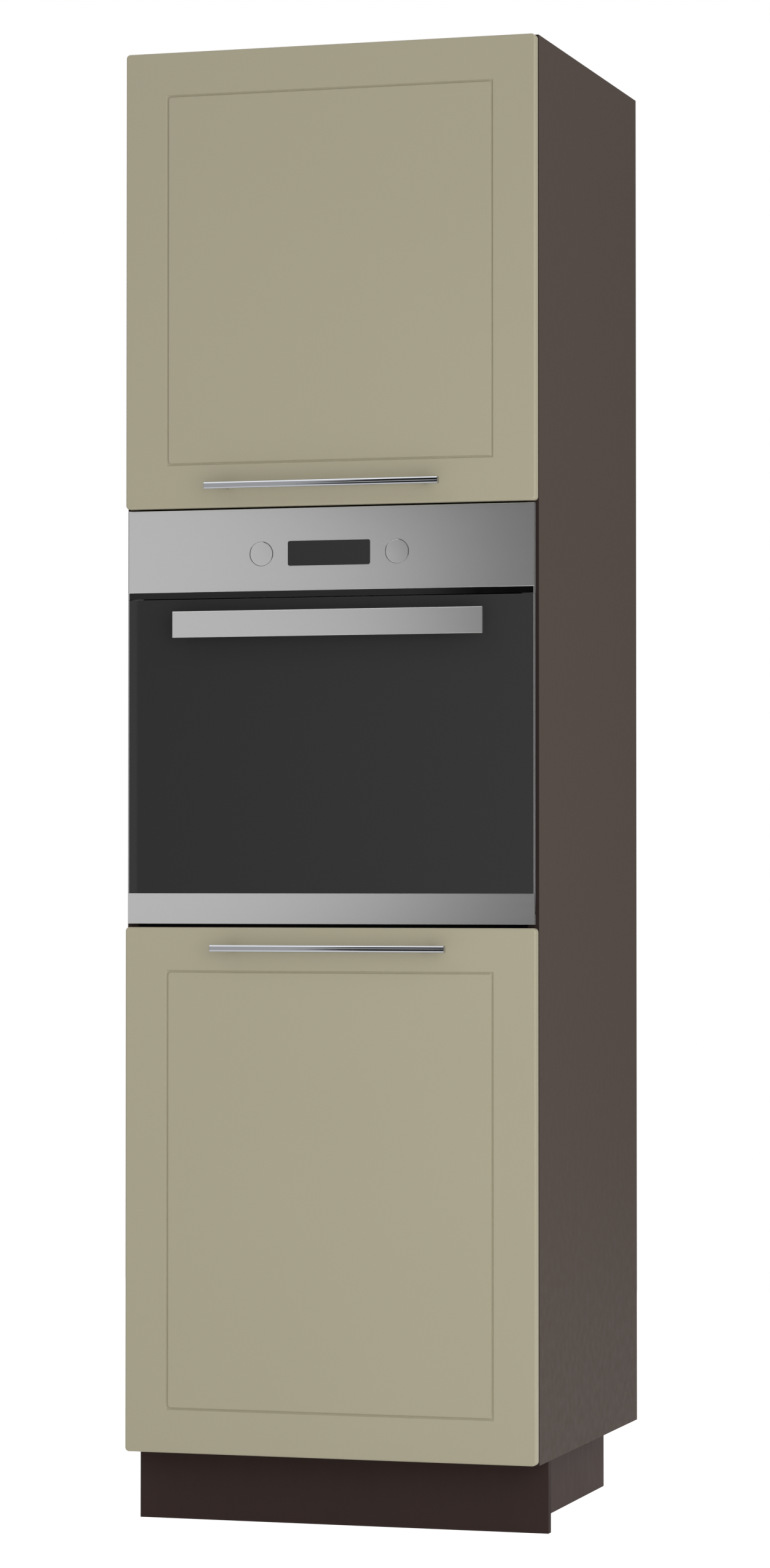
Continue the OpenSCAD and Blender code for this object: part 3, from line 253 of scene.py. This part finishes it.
def quarter(r, steps=6):
    """A quarter round as pairs (inset, rise): r - r cos a and r - r sin a, from the side to the
    front."""
    a = np.linspace(0, np.pi / 2, steps + 1)
    return list(zip(r - r * np.cos(a), r - r * np.sin(a)))


def lathe(cx, cz, profile, points):
    """A profile of pairs (y, r) turned about the line along Y through (cx, cz)."""
    return skin([at_depth(circle(cx, cz, max(r, POLE_R), points), y) for y, r in profile])


def slab(x0, x1, y0, y1, z0, z1, edge_r, corner_r):
    """A plate whose front and back edges are quarter rounds: loops that shrink by the inset of the
    quarter round while they rise to each face."""
    rings = []
    for inset, rise in quarter(edge_r)[::-1]:
        r = max(corner_r - inset, SHARP_R)
        rings.append(inset_ring(x0, x1, z0, z1, inset, r, y1 - rise))
    for inset, rise in quarter(edge_r):
        r = max(corner_r - inset, SHARP_R)
        rings.append(inset_ring(x0, x1, z0, z1, inset, r, y0 + rise))
    return [skin(rings), cap(rings[0][::-1]), cap(rings[-1])]


def bar_x(x0, x1, y0, y1, z0, z1, edge_r, crown, end_r):
    """A bar along X that shrinks by a quarter round at both ends. Its section in Y and Z has soft
    corners. Its front and back bulge by crown times 1 - u squared, where u runs from -1 to 1 up
    the face."""
    def section(x, inset):
        r = max(edge_r - inset, SHARP_R)
        y_in, y_out, z_in, z_out = y0 + inset + crown, y1 - inset - crown, z0 + inset, z1 - inset
        corners = soft_loop(y_in, y_out, z_in, z_out, r).reshape(4, -1, 2)
        u = np.linspace(-1, 1, CROWN_POINTS)[1:-1]
        z = (z_in + z_out) / 2 + u * ((z_out - z_in) / 2 - r)
        back = np.stack([y_out + crown * (1 - u ** 2), z], axis=1)
        front = np.stack([y_in - crown * (1 - u ** 2), z], axis=1)[::-1]
        loop = np.concatenate([corners[0], back, corners[1], corners[2], front, corners[3]])
        return np.stack([np.full(len(loop), x), loop[:, 0], loop[:, 1]], axis=1)

    ends = quarter(end_r)
    rings = [section(x0 + rise, inset) for inset, rise in ends[::-1]]
    rings += [section(x1 - rise, inset) for inset, rise in ends]
    return [skin(rings), cap(rings[0][::-1]), cap(rings[-1])]


def extrude_x(section, x0, x1):
    """A closed outline in Y and Z carried from x0 to x1, with both ends closed."""
    section = np.asarray(section)
    rings = [np.column_stack([np.full(len(section), x), section]) for x in (x0, x1)]
    return [skin(rings), cap(rings[0][::-1]), cap(rings[-1])]


def piece(name, surfaces, body, finish, replaced):
    """One closed mesh from its surfaces, with merged seams and outward faces. It rides on a body
    and stands for the node that it replaces."""
    mesh = bpy.data.meshes.new(name)
    points, faces, start = [], [], 0
    for part_points, part_faces in surfaces:
        points.append(part_points)
        faces += [[start + i for i in face] for face in part_faces]
        start += len(part_points)
    mesh.from_pydata(np.concatenate(points).tolist(), [], faces)
    work = bmesh.new()
    work.from_mesh(mesh)
    bmesh.ops.remove_doubles(work, verts=work.verts, dist=MERGE)
    bmesh.ops.dissolve_degenerate(work, edges=work.edges, dist=TINY_EDGE)
    bmesh.ops.recalc_face_normals(work, faces=work.faces)
    work.to_mesh(mesh)
    work.free()
    mesh.shade_smooth()
    mesh.set_sharp_from_angle(angle=SHARP_ANGLE)
    mesh.materials.append(finish)
    made = bpy.data.objects.new(name, mesh)
    bpy.context.scene.collection.objects.link(made)
    flat_faces = made.modifiers.new("flat_faces", "WEIGHTED_NORMAL")
    flat_faces.keep_sharp = True
    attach(made, body)
    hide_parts(replaced)


# ---------- finishes ----------

def linear(red, green, blue):
    """A colour written as 0 to 255 on screen, as the linear values that sockets take."""
    c = np.array([red, green, blue]) / 255
    c = np.where(c <= 0.04045, c / 12.92, ((c + 0.055) / 1.055) ** 2.4)
    return (*c.tolist(), 1.0)


class Finish:
    """A Principled material and short ways to add nodes to it."""

    def __init__(self, name, colour, roughness, metallic=0.0):
        self.material = bpy.data.materials.new(name)
        self.material.use_nodes = True
        self.tree = self.material.node_tree
        self.shader = self.tree.nodes["Principled BSDF"]
        self.shader.inputs["Base Color"].default_value = colour
        self.shader.inputs["Roughness"].default_value = roughness
        self.shader.inputs["Metallic"].default_value = metallic
        self.place = self.add("ShaderNodeTexCoord").outputs["Object"]

    def add(self, kind):
        return self.tree.nodes.new(kind)

    def link(self, output, socket):
        self.tree.links.new(output, socket)

    def specular(self, level):
        self.shader.inputs["Specular IOR Level"].default_value = level

    def axis(self, name):
        """The object's coordinate along one axis."""
        node = self.add("ShaderNodeSeparateXYZ")
        self.link(self.place, node.inputs["Vector"])
        return node.outputs[name]

    def stretched(self, x, y, z):
        """The object's coordinates, scaled along each axis."""
        mapping = self.add("ShaderNodeMapping")
        mapping.inputs["Scale"].default_value = (x, y, z)
        self.link(self.place, mapping.inputs["Vector"])
        return mapping.outputs["Vector"]

    def noise(self, scale, detail=2.0, rough=0.5, place=None):
        node = self.add("ShaderNodeTexNoise")
        node.inputs["Scale"].default_value = scale
        node.inputs["Detail"].default_value = detail
        node.inputs["Roughness"].default_value = rough
        self.link(place or self.place, node.inputs["Vector"])
        return node.outputs["Fac"]

    def ranged(self, value, low, high, start=0.3, end=0.7):
        node = self.add("ShaderNodeMapRange")
        node.inputs["From Min"].default_value = start
        node.inputs["From Max"].default_value = end
        node.inputs["To Min"].default_value = low
        node.inputs["To Max"].default_value = high
        self.link(value, node.inputs["Value"])
        return node.outputs["Result"]

    def shade(self, value, dark, light, start=0.3, end=0.7):
        """Colour that runs from dark to light with a value."""
        ramp = self.add("ShaderNodeValToRGB")
        ramp.color_ramp.elements[0].position = start
        ramp.color_ramp.elements[1].position = end
        ramp.color_ramp.elements[0].color = dark
        ramp.color_ramp.elements[1].color = light
        self.link(value, ramp.inputs["Fac"])
        self.link(ramp.outputs["Color"], self.shader.inputs["Base Color"])
        return ramp

    def rough(self, value, low, high):
        self.link(self.ranged(value, low, high), self.shader.inputs["Roughness"])

    def bump(self, value, depth, strength):
        node = self.add("ShaderNodeBump")
        node.inputs["Strength"].default_value = strength
        node.inputs["Distance"].default_value = depth
        self.link(value, node.inputs["Height"])
        self.link(node.outputs["Normal"], self.shader.inputs["Normal"])


def around(colour, spread):
    """A colour made darker and lighter by a share."""
    dark = tuple(c * (1 - spread) for c in colour[:3]) + (1.0,)
    light = tuple(min(c * (1 + spread), 1.0) for c in colour[:3]) + (1.0,)
    return dark, light


def door_lacquer():
    """Satin lacquer: a faint orange peel, and tone that drifts a little over the door."""
    colour = linear(169, 163, 140)
    f = Finish("door_lacquer", colour, roughness=0.46)
    f.specular(0.3)
    f.shade(f.noise(2.2, 2), *around(colour, 0.012))
    f.rough(f.noise(90, 2), 0.43, 0.5)
    f.bump(f.noise(420, 2), 0.00002, 0.35)
    return f.material


def melamine(name, colour):
    """Melamine board: fine pores pressed in, and a dry sheen."""
    f = Finish(name, colour, roughness=0.55)
    f.specular(0.05)
    grain = f.noise(60, 5, 0.6, f.stretched(1, 1, 0.25))
    f.shade(grain, *around(colour, 0.035))
    f.rough(grain, 0.5, 0.62)
    f.bump(f.noise(900, 3), 0.00003, 0.5)
    return f.material


def board_with_painted_edge_shade(name, edge_shade):
    """Melamine board with painted shade: a dark strip along its front edge."""
    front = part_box("side_panel_right")[0].y
    f = Finish(name, BOARD_COLOUR, roughness=0.55)
    f.specular(0.05)
    # Painted shade: the front edge's first half millimetre takes the dark colour.
    behind = f.ranged(f.axis("Y"), 0.0, 1.0, front, front + EDGE_SHADE_T)
    f.shade(behind, edge_shade, BOARD_COLOUR, 0.4, 0.6)
    f.rough(f.noise(60, 5), 0.5, 0.62)
    f.bump(f.noise(900, 3), 0.00003, 0.5)
    return f.material


def brushed(name, colour, roughness, along):
    """Brushed steel: streaks that are long one way and hair thin across it."""
    f = Finish(name, colour, metallic=0.85, roughness=roughness)
    streaks = f.noise(1.0, 3, 0.55, f.stretched(*along))
    f.shade(streaks, *around(colour, 0.012))
    f.rough(streaks, roughness - 0.01, roughness + 0.01)
    return f.material


def chrome(name, colour, roughness):
    """Bright plating, with the faintest waviness."""
    f = Finish(name, colour, metallic=1.0, roughness=roughness)
    f.rough(f.noise(200, 2), roughness, roughness + 0.02)
    return f.material


def black_glass():
    """Glass with a dark coat behind it: smooth, a trace of haze, a paler rim at the hinge side and
    painted light: a tone that lifts a little to the right."""
    f = Finish("black_glass", linear(50, 50, 50), roughness=0.2)
    f.specular(0.05)
    across = f.ranged(f.axis("X"), 0.0, 1.0, -HALF_WIDTH, HALF_WIDTH)
    # Painted light: the tone rises from 49 past the rim to 54 at the right end.
    ramp = f.shade(across, linear(57, 57, 57), linear(54, 54, 54), GLASS_RIM, GLASS_PAINTED_LIGHT_END)
    ramp.color_ramp.elements.new(GLASS_RIM + GLASS_RIM_SOFT).color = linear(49, 49, 49)
    f.rough(f.noise(25, 2), 0.2, 0.24)
    return f.material


def zinc(name, colour, roughness):
    """Galvanised or zinc plated steel: cells of slightly different grey."""
    f = Finish(name, colour, metallic=1.0, roughness=roughness)
    cells = f.add("ShaderNodeTexVoronoi")
    cells.inputs["Scale"].default_value = 90
    f.link(f.place, cells.inputs["Vector"])
    grey = f.add("ShaderNodeSeparateColor")
    f.link(cells.outputs["Color"], grey.inputs["Color"])
    f.shade(grey.outputs["Red"], *around(colour, 0.1), 0.0, 1.0)
    f.rough(f.noise(300, 2), roughness - 0.05, roughness + 0.1)
    return f.material


def enamel():
    """Vitreous enamel: dark grey with pale specks, glossy."""
    colour = linear(38, 39, 43)
    f = Finish("enamel", colour, roughness=0.18)
    specks = f.noise(900, 1)
    f.shade(specks, colour, linear(120, 122, 128), 0.68, 0.74)
    f.rough(f.noise(120, 2), 0.14, 0.26)
    f.bump(f.noise(60, 2), 0.00005, 0.2)
    return f.material


def plastic(name, colour, roughness):
    """Moulded plastic with a fine grain."""
    f = Finish(name, colour, roughness=roughness)
    f.shade(f.noise(14, 2), *around(colour, 0.04))
    f.bump(f.noise(1500, 2), 0.00003, 0.4)
    return f.material


def gloss_black():
    """Polished black moulding."""
    colour = linear(8, 8, 8)
    f = Finish("gloss_black", colour, roughness=0.04)
    f.specular(0.42)
    f.shade(f.noise(14, 2), *around(colour, 0.04))
    f.rough(f.noise(40, 2), 0.03, 0.06)
    return f.material


def heater():
    """Heat darkened steel tube, blued in patches."""
    f = Finish("heater_sheath", linear(92, 88, 86), metallic=1.0, roughness=0.42)
    f.shade(f.noise(40, 3), linear(70, 66, 70), linear(112, 104, 96))
    f.rough(f.noise(250, 2), 0.35, 0.52)
    return f.material


def mineral_wool():
    """Loose fibres in a pale blanket."""
    colour = linear(206, 198, 178)
    f = Finish("mineral_wool", colour, roughness=0.95)
    fibres = f.noise(240, 6, 0.75, f.stretched(0.4, 1, 1.6))
    f.shade(fibres, *around(colour, 0.18))
    f.bump(fibres, 0.0012, 0.8)
    return f.material


def clear_glass():
    """Clear glass with a faint tint."""
    f = Finish("clear_glass", linear(214, 220, 218), roughness=0.03)
    f.shader.inputs["Transmission Weight"].default_value = 0.9
    f.shader.inputs["IOR"].default_value = 1.5
    f.rough(f.noise(12, 1), 0.02, 0.05)
    return f.material


STEEL = linear(222, 222, 222)
BOARD_COLOUR = linear(81, 71, 65)
FINISHES = {
    "door_lacquer": door_lacquer(),
    "carcass_board": melamine("carcass_board", BOARD_COLOUR),
    # Painted shade: the plinth front is a darker copy of the board, for the shade in its recess under
    # the doors.
    "plinth_board": melamine("plinth_board", linear(57, 45, 42)),
    "chrome": chrome("chrome", linear(186, 188, 192), 0.02),
    "chrome_wire": chrome("chrome_wire", linear(205, 206, 208), 0.12),
    "stainless": brushed("stainless", STEEL, STEEL_ROUGHNESS, LENGTHWISE),
    "knob_steel": brushed("knob_steel", STEEL, STEEL_ROUGHNESS, LENGTHWISE),
    "black_glass": black_glass(),
    "clear_glass": clear_glass(),
    "zinc_steel": zinc("zinc_steel", linear(205, 207, 209), 0.38),
    "enamel": enamel(),
    "heater_sheath": heater(),
    "mineral_wool": mineral_wool(),
    "silicone_seal": plastic("silicone_seal", linear(52, 52, 53), 0.7),
    "black_plastic": plastic("black_plastic", linear(24, 24, 24), 0.35),
    "gloss_black": gloss_black(),
    "pale_plastic": plastic("pale_plastic", linear(222, 219, 212), 0.5),
}
FRAME_STEEL = brushed("door_frame_steel", linear(190, 190, 190), 0.32, UPRIGHT)
# Painted shade: a darker copy of the board for the plinth returns, which sit in shade under the side
# panels.
PLINTH_RETURN_SHADED = melamine("plinth_return_shaded", linear(75, 63, 59))


def dress_frame_nodes():
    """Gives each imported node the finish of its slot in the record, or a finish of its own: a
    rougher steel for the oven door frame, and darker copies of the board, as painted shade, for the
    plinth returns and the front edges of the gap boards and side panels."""
    slots = {part["node"]: part["material_slot"] for part in frame["record"]["subparts"]}
    # Painted shade: near black front edges on the boards seen in the gaps round the oven, dark brown
    # ones on the side panels.
    gap = board_with_painted_edge_shade("gap_board_edge_shade", linear(14, 12, 12))
    outer = board_with_painted_edge_shade("outer_board_edge_shade", linear(50, 41, 39))
    special = {"oven_door_frame": FRAME_STEEL, "plinth_sides": PLINTH_RETURN_SHADED,
               "niche_top_panel": gap, "oven_shelf": gap,
               "side_panel_left": outer, "side_panel_right": outer}
    for name, node in frame["nodes"].items():
        finish = special.get(name, FINISHES[slots[name]])
        if not node.material_slots:
            node.data.materials.append(finish)
        for material_slot in node.material_slots:
            material_slot.material = finish


# ---------- cabinet doors and handles ----------

def door_front_rings(x0, x1, z0, z1, front, back):
    """Loops from the door's back edge round its front edge and down into the routed line, whose
    depth is LINE_DEPTH times sin squared across its width."""
    def ring(inset, y, r):
        return inset_ring(x0, x1, z0, z1, inset, r, y, DOOR_STEPS)

    rings = [ring(DOOR_BACK_CHAMFER, back, DOOR_CORNER_R)]
    rings.append(ring(0, back - DOOR_BACK_CHAMFER, DOOR_CORNER_R))
    for inset, rise in quarter(DOOR_EDGE_R, DOOR_STEPS):
        rings.append(ring(inset, front + rise, DOOR_CORNER_R - inset))
    for share in np.linspace(0, 1, LINE_POINTS):
        sunk = LINE_DEPTH * math.sin(math.pi * share) ** 2
        r = SHARP_R + (LINE_CORNER_R - SHARP_R) * share
        rings.append(ring(LINE_INSET + LINE_WIDTH * share, front + sunk, r))
    return rings


def door(side, finish):
    """A door with rounded edges and a routed line, bored for its two hinge cups."""
    lo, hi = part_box(side + "_door_panel")
    cups_lo, cups_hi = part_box(side + "_hinge_cups")
    rings = door_front_rings(lo.x, hi.x, lo.z, hi.z, lo.y, hi.y)
    cup_x = cups_lo.x + CUP_R
    back_edge = rings[0][:, [0, 2]]
    bores = [circle(cup_x, z, CUP_R) for z in (cups_lo.z + CUP_HALF_Z, cups_hi.z - CUP_HALF_Z)]
    surfaces = [skin(rings), cap(rings[-1]), plate(back_edge, bores, hi.y)]
    for bore in bores:
        wall = [at_depth(bore, hi.y), at_depth(bore, cups_lo.y)]
        surfaces += [skin(wall), cap(wall[-1])]
    piece(side + "_door", surfaces, side + "_door", finish, side + "_door_panel")


def handle(side, finish):
    """A square bar with soft edges and a slightly crowned face."""
    lo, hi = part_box(side + "_handle_bar")
    surfaces = bar_x(lo.x, hi.x, lo.y, hi.y, lo.z, hi.z, GRIP_EDGE_R, GRIP_CROWN, GRIP_END_R)
    piece(side + "_bar", surfaces, side + "_door", finish, side + "_handle_bar")


# ---------- oven front ----------

def knob_places():
    """Middle of each knob and its node, in X and Z, and the radius."""
    for name in ("function_knob", "temperature_knob"):
        lo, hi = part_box(name)
        yield name, (lo.x + hi.x) / 2, (lo.z + hi.z) / 2, (hi.x - lo.x) / 2


def control_panel(finish):
    """A folded tray: its front face has holes with rolled lips for the display and the knobs, and
    a tab at each side runs down beside the air slot."""
    lo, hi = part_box("control_panel")
    d_lo, d_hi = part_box("display")
    slot_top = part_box("oven_door_glass")[1].z + SLOT_HEIGHT
    window = (d_lo.x - DISPLAY_GAP, d_hi.x + DISPLAY_GAP, d_lo.z - DISPLAY_GAP,
              d_hi.z + DISPLAY_GAP)

    def ring(inset, y, r):
        return inset_ring(lo.x, hi.x, slot_top, hi.z, inset, r, y)

    outside = [ring(0, hi.y, SHARP_R)]
    outside += [ring(inset, lo.y + rise, SHARP_R) for inset, rise in quarter(FOLD_R)]
    inside = [ring(SHEET, lo.y + SHEET, SHARP_R), ring(SHEET, hi.y, SHARP_R)]
    surfaces = [skin(outside), skin([inside[1], outside[0]]), skin(inside[::-1])]
    front_holes, back_holes = [], []

    def lip(loop_at, r):
        """Rolls the front face inward round one hole, then runs straight to the inner face."""
        rolled = [at_depth(loop_at(r - inset), lo.y + rise)
                  for inset, rise in quarter(r, LIP_STEPS)[::-1]]
        rolled.append(at_depth(loop_at(0.0), lo.y + SHEET))
        surfaces.append(skin(rolled))
        front_holes.append(loop_at(r))
        back_holes.append(loop_at(0.0))

    def window_loop(grow):
        return soft_loop(window[0] - grow, window[1] + grow, window[2] - grow, window[3] + grow,
                         DISPLAY_R + grow)

    lip(window_loop, DISPLAY_LIP)
    for _, x, z, r in knob_places():
        lip(lambda grow, x=x, z=z, r=r: circle(x, z, r + KNOB_GAP + grow, HOLE_POINTS), LIP_R)
    surfaces.append(plate(outside[-1][:, [0, 2]], front_holes, lo.y))
    surfaces.append(plate(inside[0][:, [0, 2]], back_holes, lo.y + SHEET))
    for x0, x1 in ((lo.x, lo.x + SHEET), (hi.x - SHEET, hi.x)):
        surfaces += slab(x0, x1, lo.y, hi.y, lo.z, slot_top, TAB_EDGE_R, TAB_EDGE_R)
    piece("control_fascia", surfaces, "root", finish, "control_panel")


def knob(name, x, z, r, finish):
    """A cap with a rounded rim, hollow behind, on a hub with a bore for the spindle."""
    lo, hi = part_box(name)
    rim = [(lo.y + rise, r - inset) for inset, rise in quarter(KNOB_EDGE_R)[::-1]]
    profile = [(lo.y, 0.0), *rim, (hi.y, r), (hi.y, r - KNOB_WALL), (lo.y + KNOB_WALL, r - KNOB_WALL),
               (lo.y + KNOB_WALL, KNOB_HUB_R), (hi.y, KNOB_HUB_R), (hi.y, KNOB_BORE_R),
               (lo.y + KNOB_WALL, KNOB_BORE_R), (lo.y + KNOB_WALL, 0.0)]
    surfaces = [lathe(x, z, profile, KNOB_POINTS)]
    piece(name + "_cap", surfaces, name, finish, name)


def oven_glass(finish):
    """The door's outer glass, with polished edges."""
    lo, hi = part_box("oven_door_glass")
    surfaces = slab(lo.x, hi.x, lo.y, hi.y, lo.z, hi.z, GLASS_EDGE_R, GLASS_EDGE_R)
    piece("oven_front_glass", surfaces, "oven_door", finish, "oven_door_glass")


def oven_strip(finish):
    """A folded sheet: a front, a rounded fold on top and an end plate each side."""
    lo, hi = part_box("oven_door_strip")
    glass_lo, glass_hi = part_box("oven_door_glass")
    back = glass_hi.y
    fold = [(lo.y + inset, hi.z - FOLD_R + rise) for inset, rise in quarter(FOLD_R)]
    section = [(lo.y + SHEET, lo.z), (lo.y, lo.z), *fold, (back, hi.z), (back, hi.z - SHEET),
               (lo.y + SHEET, hi.z - SHEET)]
    surfaces = extrude_x(section, lo.x + SHEET, hi.x - SHEET)
    ends = [(lo.y + SHEET / 2, lo.z), (lo.y, lo.z + SHEET / 2), *fold, (back, hi.z),
            (hi.y, glass_lo.z - STRIP_SLOPE), (hi.y, lo.z)]
    surfaces += extrude_x(ends, lo.x, lo.x + SHEET)
    surfaces += extrude_x(ends, hi.x - SHEET, hi.x)
    piece("oven_lower_strip", surfaces, "oven_door", finish, "oven_door_strip")


def oven_bar(finish):
    """The flat bar and its two posts, all with fine rounded edges."""
    lo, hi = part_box("oven_handle")
    bar_back = lo.y + BAR_T
    surfaces = slab(lo.x, hi.x, lo.y, bar_back, lo.z, hi.z, BAR_EDGE_R, BAR_EDGE_R)
    mid = (lo.z + hi.z) / 2
    for x in (lo.x + POST_END, hi.x - POST_END):
        surfaces += slab(x - POST_W / 2, x + POST_W / 2, bar_back - POST_SUNK, hi.y,
                         mid - POST_H / 2, mid + POST_H / 2, POST_EDGE_R, POST_CORNER_R)
    piece("oven_bar_handle", surfaces, "oven_door", finish, "oven_handle")


# ---------- stage ----------

class Stage:
    """Short ways to build the node trees of the floor and the world."""

    def __init__(self, tree):
        self.tree = tree
        path = tree.nodes.new("ShaderNodeLightPath")
        self.camera = path.outputs["Is Camera Ray"]
        sees = tree.nodes.new("ShaderNodeMath")
        sees.operation = "MAXIMUM"
        tree.links.new(path.outputs["Is Glossy Ray"], sees.inputs[0])
        tree.links.new(path.outputs["Is Transmission Ray"], sees.inputs[1])
        self.mirror = sees.outputs["Value"]

    def between(self, a, b, share):
        """a where share is 0 and b where it is 1."""
        node = self.tree.nodes.new("ShaderNodeMix")
        self.tree.links.new(share, node.inputs["Factor"])
        for socket, value in ((node.inputs["A"], a), (node.inputs["B"], b)):
            if isinstance(value, float):
                socket.default_value = value
            else:
                self.tree.links.new(value, socket)
        return node.outputs["Result"]

    def side(self, place, direction, start, end):
        """0 to 1 as a direction turns towards the one given, from a cosine start to end."""
        dot = self.tree.nodes.new("ShaderNodeVectorMath")
        dot.operation = "DOT_PRODUCT"
        dot.inputs[1].default_value = direction
        self.tree.links.new(place, dot.inputs[0])
        node = self.tree.nodes.new("ShaderNodeMapRange")
        node.interpolation_type = "SMOOTHSTEP"
        node.inputs["From Min"].default_value = start
        node.inputs["From Max"].default_value = end
        self.tree.links.new(dot.outputs["Value"], node.inputs["Value"])
        return node.outputs["Result"]


def floor():
    """A pale floor that keeps the shadow under the unit and is white elsewhere."""
    half = FLOOR_SIZE / 2
    mesh = bpy.data.meshes.new("floor_plane")
    mesh.from_pydata([(-half, -half, 0), (half, -half, 0), (half, half, 0), (-half, half, 0)], [],
                     [(0, 1, 2, 3)])
    ground = bpy.data.objects.new("floor_plane", mesh)
    bpy.context.scene.collection.objects.link(ground)
    material = bpy.data.materials.new("pale_floor")
    material.use_nodes = True
    tree = material.node_tree
    shader = tree.nodes["Principled BSDF"]
    shader.inputs["Base Color"].default_value = (FLOOR_TONE, FLOOR_TONE, FLOOR_TONE, 1)
    shader.inputs["Roughness"].default_value = FLOOR_ROUGHNESS
    shader.inputs["Specular IOR Level"].default_value = 0.0
    shader.inputs["Emission Color"].default_value = (1, 1, 1, 1)
    stage = Stage(tree)
    glow = stage.between(FLOOR_GLOW, FLOOR_MIRROR, stage.mirror)
    seen = stage.between(glow, FLOOR_WHITE, stage.camera)
    tree.links.new(seen, shader.inputs["Emission Strength"])
    mesh.materials.append(material)


def world():
    """Soft light for matt surfaces, stronger from the right and from behind, and a white background.
    Mirrors see a plain studio: a pale wall to the left, a dark room to the right of its edge and a
    bright ceiling."""
    made = bpy.data.worlds.new("studio")
    bpy.context.scene.world = made
    made.use_nodes = True
    tree = made.node_tree
    background = tree.nodes["Background"]
    background.inputs["Color"].default_value = (1, 1, 1, 1)
    place = tree.nodes.new("ShaderNodeTexCoord").outputs["Generated"]
    stage = Stage(tree)

    def past(angle):
        """1 to the right of an upright edge at this many degrees left of straight ahead."""
        edge = math.radians(angle)
        return stage.side(place, (math.cos(edge), -math.sin(edge), 0), -WALL_SOFT, WALL_SOFT)

    in_front = stage.side(place, (0, -1, 0), *IN_FRONT)
    overhead = stage.side(place, (0, 0, 1), *OVERHEAD)
    not_above = stage.between(1.0, 0.0, stage.side(place, (0, 0, 1), *OVER_LEVEL))
    level = stage.between(not_above, 0.0, stage.side(place, (0, 0, -1), *UNDER_LEVEL))
    past_edge = stage.between(past(WIDE_EDGE), past(WALL_EDGE), level)
    front = stage.between(PALE_WALL, DARK_ROOM, past_edge)
    ceiling = stage.between(CEILING, CEILING_END, past(CEILING_EDGE))
    room = stage.between(stage.between(BACK_WALL, front, in_front), ceiling, overhead)
    rightward = stage.side(place, RIGHT_WINDOW, *RIGHTWARD)
    behind = stage.side(place, (0, 1, 0), *BEHIND)
    fill = stage.between(stage.between(FILL, FILL_BEHIND, behind), FILL_RIGHT, rightward)
    seen = stage.between(stage.between(fill, room, stage.mirror), 1.0, stage.camera)
    tree.links.new(seen, background.inputs["Strength"])


def lamp(name, place, aim, size, power):
    """A large soft lamp that lights without showing in mirrors."""
    data = bpy.data.lights.new(name, "AREA")
    data.shape = "DISK"
    data.size = size
    data.energy = power
    made = bpy.data.objects.new(name, data)
    made.location = place
    made.rotation_mode = "QUATERNION"
    made.rotation_quaternion = (Vector(aim) - Vector(place)).to_track_quat("-Z", "Y")
    made.visible_camera = False
    made.visible_glossy = False
    bpy.context.scene.collection.objects.link(made)


def camera():
    """The photograph's camera: the yaw turns its aim from +Y towards -X and the pitch lifts it."""
    data = bpy.data.cameras.new("camera")
    data.sensor_width = CAMERA_SENSOR
    data.lens = CAMERA_LENS
    data.clip_end = CAMERA_REACH
    made = bpy.data.objects.new("camera", data)
    made.location = CAMERA_PLACE
    aim = Vector((-math.sin(CAMERA_YAW) * math.cos(CAMERA_PITCH),
                  math.cos(CAMERA_YAW) * math.cos(CAMERA_PITCH), math.sin(CAMERA_PITCH)))
    made.rotation_mode = "QUATERNION"
    made.rotation_quaternion = aim.to_track_quat("-Z", "Y")
    bpy.context.scene.collection.objects.link(made)
    bpy.context.scene.camera = made


bpy.context.scene.view_settings.view_transform = "Standard"
camera()
world()
floor()
lamp("key", *KEY_LAMP)
lamp("low", *LOW_LAMP)

dress_frame_nodes()
for side in ("upper", "lower"):
    door(side, FINISHES["door_lacquer"])
    handle(side, FINISHES["chrome"])
control_panel(FINISHES["stainless"])
for knob_name, knob_x, knob_z, knob_r in knob_places():
    knob(knob_name, knob_x, knob_z, knob_r, FINISHES["knob_steel"])
oven_glass(FINISHES["black_glass"])
oven_strip(FINISHES["stainless"])
oven_bar(FINISHES["stainless"])
